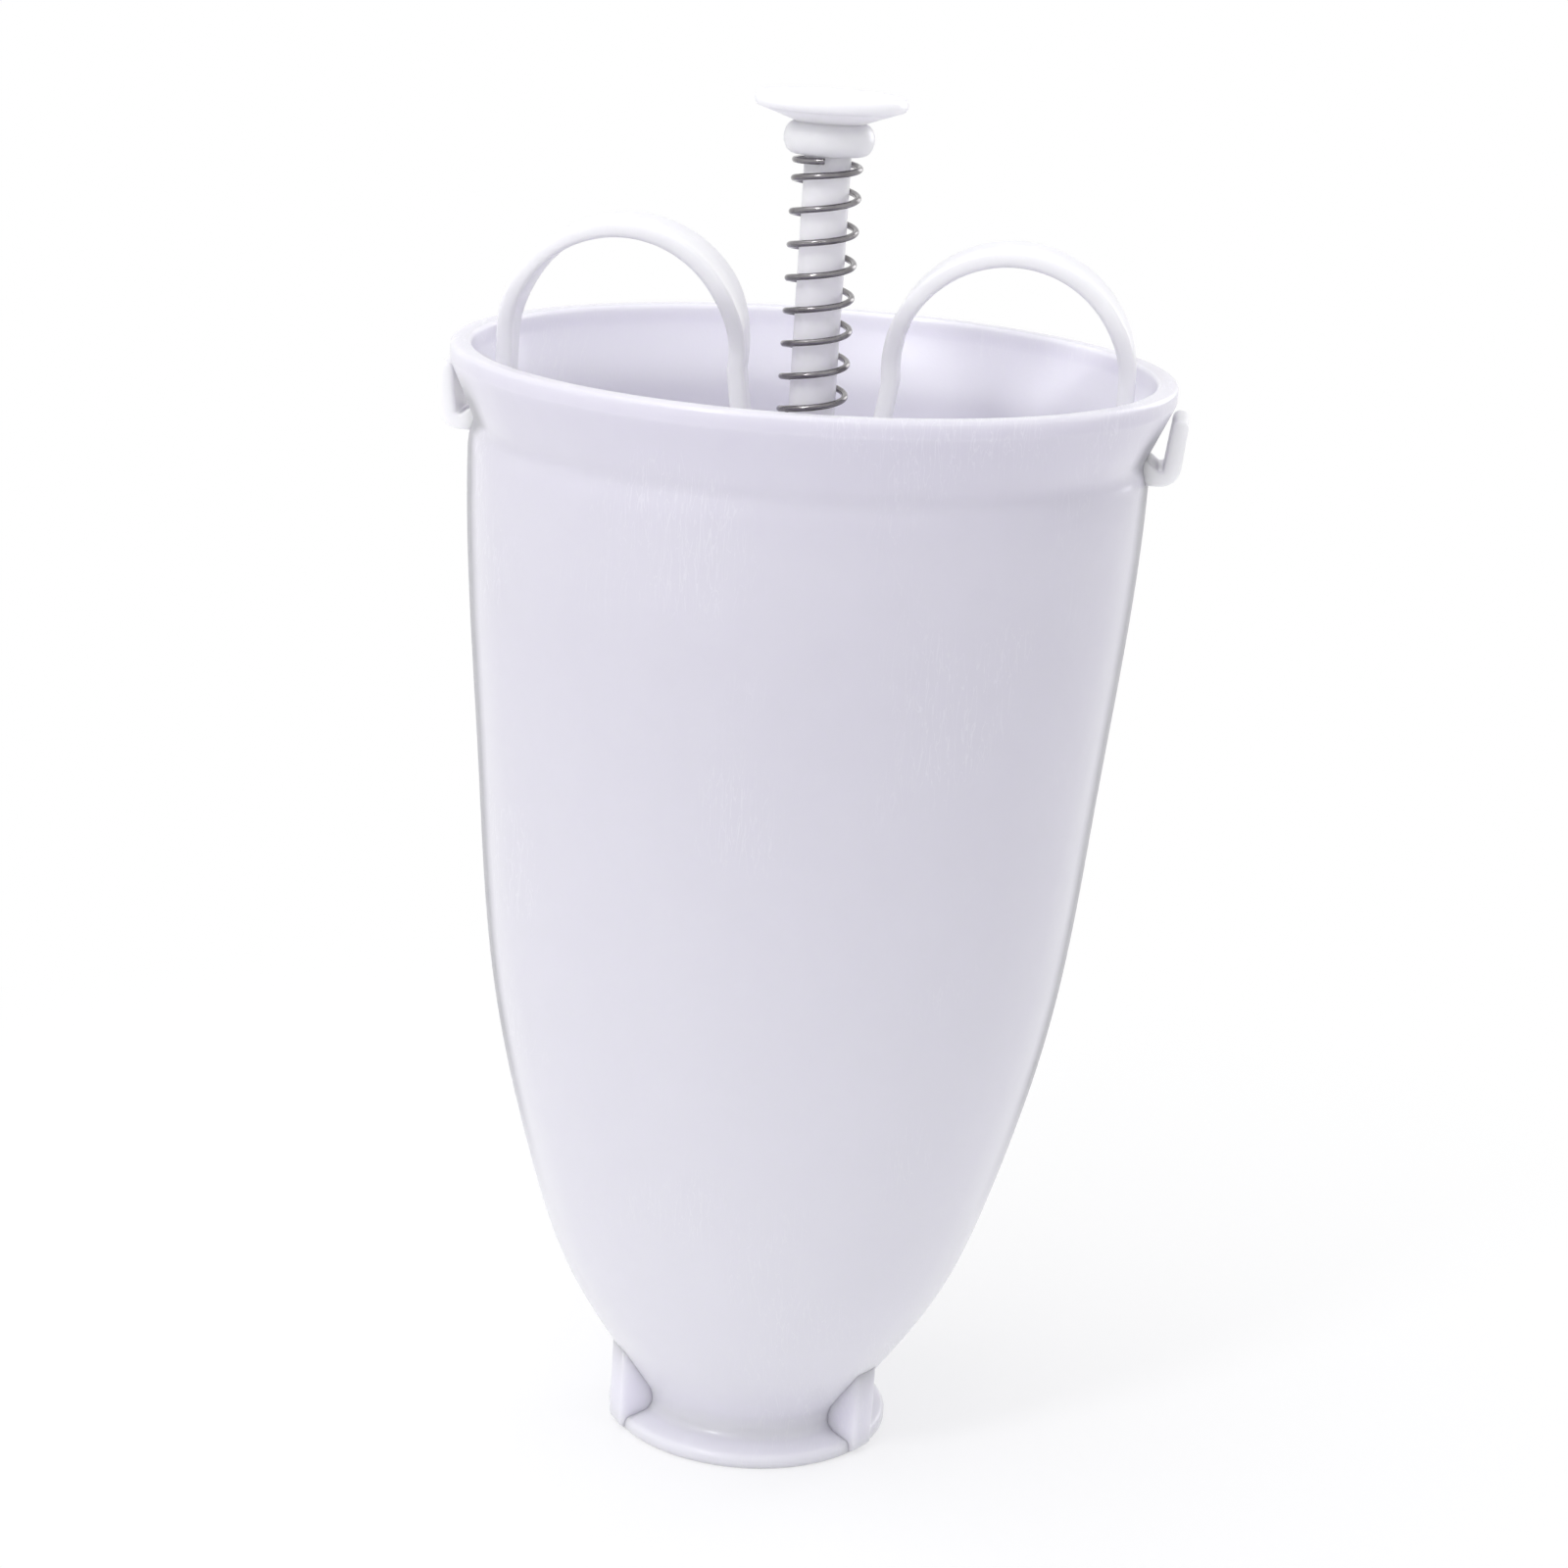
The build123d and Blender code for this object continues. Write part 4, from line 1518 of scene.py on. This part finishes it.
@dataclass
class Plunger:
    """The rod with its stop collar, the thumb button on top and the forming disc at its foot."""

    rod_radius: float = 3.2
    rod_foot: float = 6.0
    rod_top: float = 191.1
    rod_chamfer: float = 0.5
    rod_faces: int = 64
    stop_radius: float = 4.6
    stop_top: float = 134.1
    stop_thickness: float = 2.0
    stop_rounding: float = 0.3
    stop_fillet: float = 0.2
    button_radius: float = 10.4
    button_top: float = 194.3
    button_edge: float = 2.0
    edge_bulge: float = 0.7
    dish_depth: float = 1.7
    dish_steps: int = 16
    edge_steps: int = 14
    bead_steps: int = 16
    underside_drop: float = 3.8
    bead_foot: float = BEAD_FOOT
    bead_foot_radius: float = 4.7
    bead_bulge: float = 1.5
    wide_faces: int = 128
    disc_radius: float = 14.85
    disc_foot: float = 1.0
    disc_edge: float = 3.2
    disc_rounding: float = 0.5
    hub_radius: float = 5.0
    hub_top: float = 18.0
    cone_top: float = 12.0
    cone_rounding: float = 1.6
    hollow_radius: float = 11.5
    hollow_depth: float = 1.6
    socket_radius: float = 3.25

    def rod_outline(self) -> list[Point]:
        """Outline of the rod from its foot to its top.

        Returns:
            The points.
        """
        low, high = self.stop_top - self.stop_thickness, self.stop_top
        corners = [
            Corner(0.0, self.rod_foot),
            Corner(self.rod_radius, self.rod_foot, self.rod_chamfer),
            Corner(self.rod_radius, low, self.stop_fillet),
            Corner(self.stop_radius, low, self.stop_rounding),
            Corner(self.stop_radius, high, self.stop_rounding),
            Corner(self.rod_radius, high, self.stop_fillet),
            Corner(self.rod_radius, self.rod_top, self.rod_chamfer),
            Corner(0.0, self.rod_top),
        ]
        return rounded_outline(corners, closed=False)

    def button_outline(self) -> list[Point]:
        """Outline of the button, from its dish round its edge and down its bead to the socket.

        Returns:
            The points.
        """
        dish_radius = self.button_radius - self.edge_bulge
        curve = (dish_radius**2 + self.dish_depth**2) / (2 * self.dish_depth)
        span = math.asin(dish_radius / curve)
        bottom = self.button_top - self.dish_depth
        angles = [span * i / self.dish_steps for i in range(self.dish_steps)]
        dish = [(curve * math.sin(a), bottom + curve * (1 - math.cos(a))) for a in angles]
        top, half_edge = self.button_top, self.button_edge / 2
        angles = [math.pi * i / self.edge_steps for i in range(self.edge_steps + 1)]
        edge = [
            (dish_radius + self.edge_bulge * math.sin(a), top - half_edge * (1 - math.cos(a)))
            for a in angles
        ]
        underside = self.button_top - self.underside_drop
        middle = (self.bead_foot + underside) / 2
        half = (underside - self.bead_foot) / 2
        angles = np.linspace(math.pi / 2, -math.pi / 2, self.bead_steps + 1)
        bead = [
            (self.bead_foot_radius + self.bead_bulge * math.cos(a), middle + half * math.sin(a))
            for a in angles
        ]
        socket = [(self.socket_radius, self.bead_foot), (self.socket_radius, self.rod_top)]
        return [*dish, *edge, *bead, *socket, (0.0, self.rod_top)]

    def disc_outline(self) -> list[Point]:
        """Outline of the forming disc, from the hollow underneath round its edge to the hub.

        Returns:
            The points.
        """
        hollow_top = self.disc_foot + self.hollow_depth
        soft = self.disc_rounding
        corners = [
            Corner(0.0, hollow_top),
            Corner(self.hollow_radius, hollow_top, soft),
            Corner(self.hollow_radius, self.disc_foot, soft),
            Corner(self.disc_radius, self.disc_foot, soft),
            Corner(self.disc_radius, self.disc_foot + self.disc_edge, soft),
            Corner(self.hub_radius, self.cone_top, self.cone_rounding),
            Corner(self.hub_radius, self.hub_top, soft),
            Corner(self.socket_radius, self.hub_top),
            Corner(self.socket_radius, self.rod_foot),
            Corner(0.0, self.rod_foot),
        ]
        return rounded_outline(corners, closed=False)

    def build(self, shop: Workshop) -> list[bpy.types.Object]:
        """Builds the plunger's pieces.

        Args:
            shop: The shape trees and finishes.

        Returns:
            The pieces.
        """
        slot = Slot.PLUNGER
        plans = {
            "rod": (self.rod_outline(), self.rod_faces, "plunger_rod"),
            "button": (self.button_outline(), self.wide_faces, "thumb_button"),
            "disc": (self.disc_outline(), self.wide_faces, "forming_disc"),
        }
        pieces = []
        for name, (outline, faces, node) in plans.items():
            mesh = shop.turn(name, outline, faces, slot, closed=False)
            pieces.append(put(name, mesh, shop.finishes[slot], PLUNGER_BODY, node))
        return pieces


@dataclass
class ReturnSpring:
    """The steel spring between the crossbar and the button's bead."""

    wire_radius: float = 0.45
    coil_radius: float = 4.45
    turns: float = 9.75
    end_pitch: float = 1.4
    end_turns: float = 0.5
    ramp_turns: float = 0.75
    seat: float = BAR_TOP
    seat_gap: float = 0.15
    bead_foot: float = BEAD_FOOT
    travel: float = 14.0
    steps_per_turn: int = 64
    sides: int = 14

    def build(self, shop: Workshop) -> bpy.types.Object:
        """Builds the spring between the crossbar and the bead.

        Args:
            shop: The shape trees and finishes.

        Returns:
            The piece.
        """
        bottom = self.seat + self.seat_gap + self.wire_radius
        top = self.bead_foot - self.seat_gap - self.wire_radius
        closed_rise = (2 * self.end_turns + self.ramp_turns) * self.end_pitch
        open_turns = self.turns - 2 * self.end_turns - self.ramp_turns
        finish = shop.finishes[Slot.SPRING]
        inputs = {
            "Coil Radius": self.coil_radius * MM,
            "Wire Radius": self.wire_radius * MM,
            "Bottom": bottom * MM,
            "Top": top * MM,
            "Turns": self.turns,
            "End Pitch": self.end_pitch * MM,
            "Open Pitch": (top - bottom - closed_rise) / open_turns * MM,
            "End Turns": self.end_turns,
            "Ramp Turns": self.ramp_turns,
            "Steps Per Turn": self.steps_per_turn,
            "Sides": self.sides,
            "Finish": finish,
        }
        seed = line_mesh([(0.0, 0.0), (0.0, 1.0)])
        mesh = grown("spring_coil", seed, shop.trees.coil, inputs)
        piece = put("spring_coil", mesh, finish, HOPPER_BODY, "return_spring")
        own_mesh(piece)
        return piece


# ---------------------------------------------------------------------------------------------
# Studio
# ---------------------------------------------------------------------------------------------


@dataclass(frozen=True)
class Softbox:
    """One soft lamp."""

    name: str
    place: Place
    aim: Place
    size: tuple[float, float]
    power: float

    def build(self) -> None:
        """Hangs the lamp and points it at its aim."""
        lamp = bpy.data.lights.new(self.name, "AREA")
        lamp.shape = "RECTANGLE"
        lamp.size, lamp.size_y = self.size
        lamp.energy = self.power
        thing = in_scene(self.name, lamp)
        thing.location = self.place
        way = Vector(self.aim) - Vector(self.place)
        thing.rotation_euler = way.to_track_quat("-Z", "Y").to_euler()


@dataclass
class Camera:
    """The camera, solved from the outline of the object in the photograph."""

    distance: float = 0.4736
    height: float = 0.2308
    azimuth: float = 5.5
    yaw: float = -0.0009
    pitch: float = 0.2747
    roll: float = 0.0652
    lens: float = 79.3
    sensor_width: float = 36.0
    clip_start: float = 0.01

    def build(self) -> None:
        """Places the camera and makes it the scene's."""
        data = bpy.data.cameras.new("photo_camera")
        data.lens, data.sensor_width = self.lens, self.sensor_width
        data.clip_start = self.clip_start
        level = math.cos(self.pitch)
        ahead = (math.sin(self.yaw) * level, math.cos(self.yaw) * level, -math.sin(self.pitch))
        forward = Vector(ahead)
        right = forward.cross(Vector((0, 0, 1))).normalized()
        up = right.cross(forward)
        tilted = math.cos(self.roll) * right + math.sin(self.roll) * up
        upright = -math.sin(self.roll) * right + math.cos(self.roll) * up
        turn = Matrix.Rotation(math.radians(self.azimuth), 3, "Z")
        matrix = Matrix([turn @ axis for axis in (tilted, upright, -forward)]).transposed().to_4x4()
        matrix.translation = turn @ Vector((0, -self.distance, self.height))
        camera = in_scene("photo_camera", data)
        camera.matrix_world = matrix
        bpy.context.scene.camera = camera


@dataclass
class Studio:
    """Pale floor, white surroundings, soft lamps and the camera."""

    floor_radius: float = 3.0
    floor_sides: int = 96
    floor_colour: Colour = (0.93, 0.93, 0.935, 1.0)
    white_span: Span = (0.03, 0.22)
    white_near: float = 0.6
    ambient: float = 0.76
    ambient_colour: Colour = (0.97, 0.975, 1.0, 1.0)
    lamps: tuple[Softbox, ...] = (
        Softbox("key_softbox", (-0.45, -0.75, 0.85), (0, 0, 0.12), (0.16, 0.16), 2.9),
        Softbox("side_softbox", (-0.6, -0.55, 0.16), (0, 0, 0.05), (1.1, 0.6), 0.3),
        Softbox("top_softbox", (-0.3, -0.15, 1.05), (0, 0, 0.1), (0.9, 0.9), 3.4),
        Softbox("rim_softbox", (0.36, 0.5, 0.34), (0, 0, 0.17), (0.25, 0.4), 0.6),
    )

    @staticmethod
    def _seen_directly(w: Wiring) -> Signal:
        """Light Path mask of what the camera sees straight, in a reflection or through the object.

        Args:
            w: Wiring of the floor or of the world.

        Returns:
            The mask.
        """
        path = w.add("ShaderNodeLightPath")
        straight_or_glossy = w.math("MAXIMUM", path["Is Camera Ray"], path["Is Glossy Ray"])
        return w.math("MAXIMUM", straight_or_glossy, path["Is Transmission Ray"])

    def floor(self) -> None:
        """Lays the floor, which keeps the object's shadow and fades to white far out."""
        work = bmesh.new()
        size = {"segments": self.floor_sides, "radius": self.floor_radius}
        bmesh.ops.create_circle(work, cap_ends=True, **size)
        mesh = bpy.data.meshes.new("floor")
        work.to_mesh(mesh)
        work.free()
        floor = in_scene("floor", mesh)
        material = bpy.data.materials.new("pale_floor")
        w = emptied(material)
        away = w.vector("LENGTH", w.add("ShaderNodeTexCoord")["Object"])["Value"]
        share = away.remap(*self.white_span, self.white_near, 1.0) * self._seen_directly(w)
        matte = w.add("ShaderNodeBsdfDiffuse", {"Color": self.floor_colour})
        white = w.add("ShaderNodeEmission", {"Color": WHITE, "Strength": 1.0})
        both = w.add("ShaderNodeMixShader", {0: share, 1: matte, 2: white})
        w.node("ShaderNodeOutputMaterial", {"Surface": both})
        mesh.materials.append(material)

    def surroundings(self) -> None:
        """Sets the world: soft light all round, and white where it is seen."""
        world = bpy.data.worlds.new("white_room")
        w = emptied(world)
        tinted = {"Color": self.ambient_colour, "Strength": self.ambient}
        soft = w.add("ShaderNodeBackground", tinted)
        white = w.add("ShaderNodeBackground", {"Color": WHITE, "Strength": 1.0})
        both = w.add("ShaderNodeMixShader", {0: self._seen_directly(w), 1: soft, 2: white})
        w.node("ShaderNodeOutputWorld", {"Surface": both})
        bpy.context.scene.world = world

    def build(self) -> None:
        """Builds the whole studio."""
        bpy.context.scene.view_settings.view_transform = "Standard"
        self.floor()
        self.surroundings()
        for lamp in self.lamps:
            lamp.build()
        Camera().build()
        log.info("studio: %d lamps", len(self.lamps))


def main() -> None:
    """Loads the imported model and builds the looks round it, piece by piece."""
    logging.basicConfig(level=logging.INFO, format="%(name)s: %(message)s")
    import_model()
    groups = FinishGroups()
    shop = Workshop(
        trees=ShapeTrees(),
        finishes={slot: finish.material(slot.value, groups) for slot, finish in FINISHES.items()},
    )
    Hopper().build(shop)
    HandleBridge().build(shop)
    Plunger().build(shop)
    ReturnSpring().build(shop)
    Studio().build()
    log.info("sizes written")


if __name__ == "__main__":
    main()
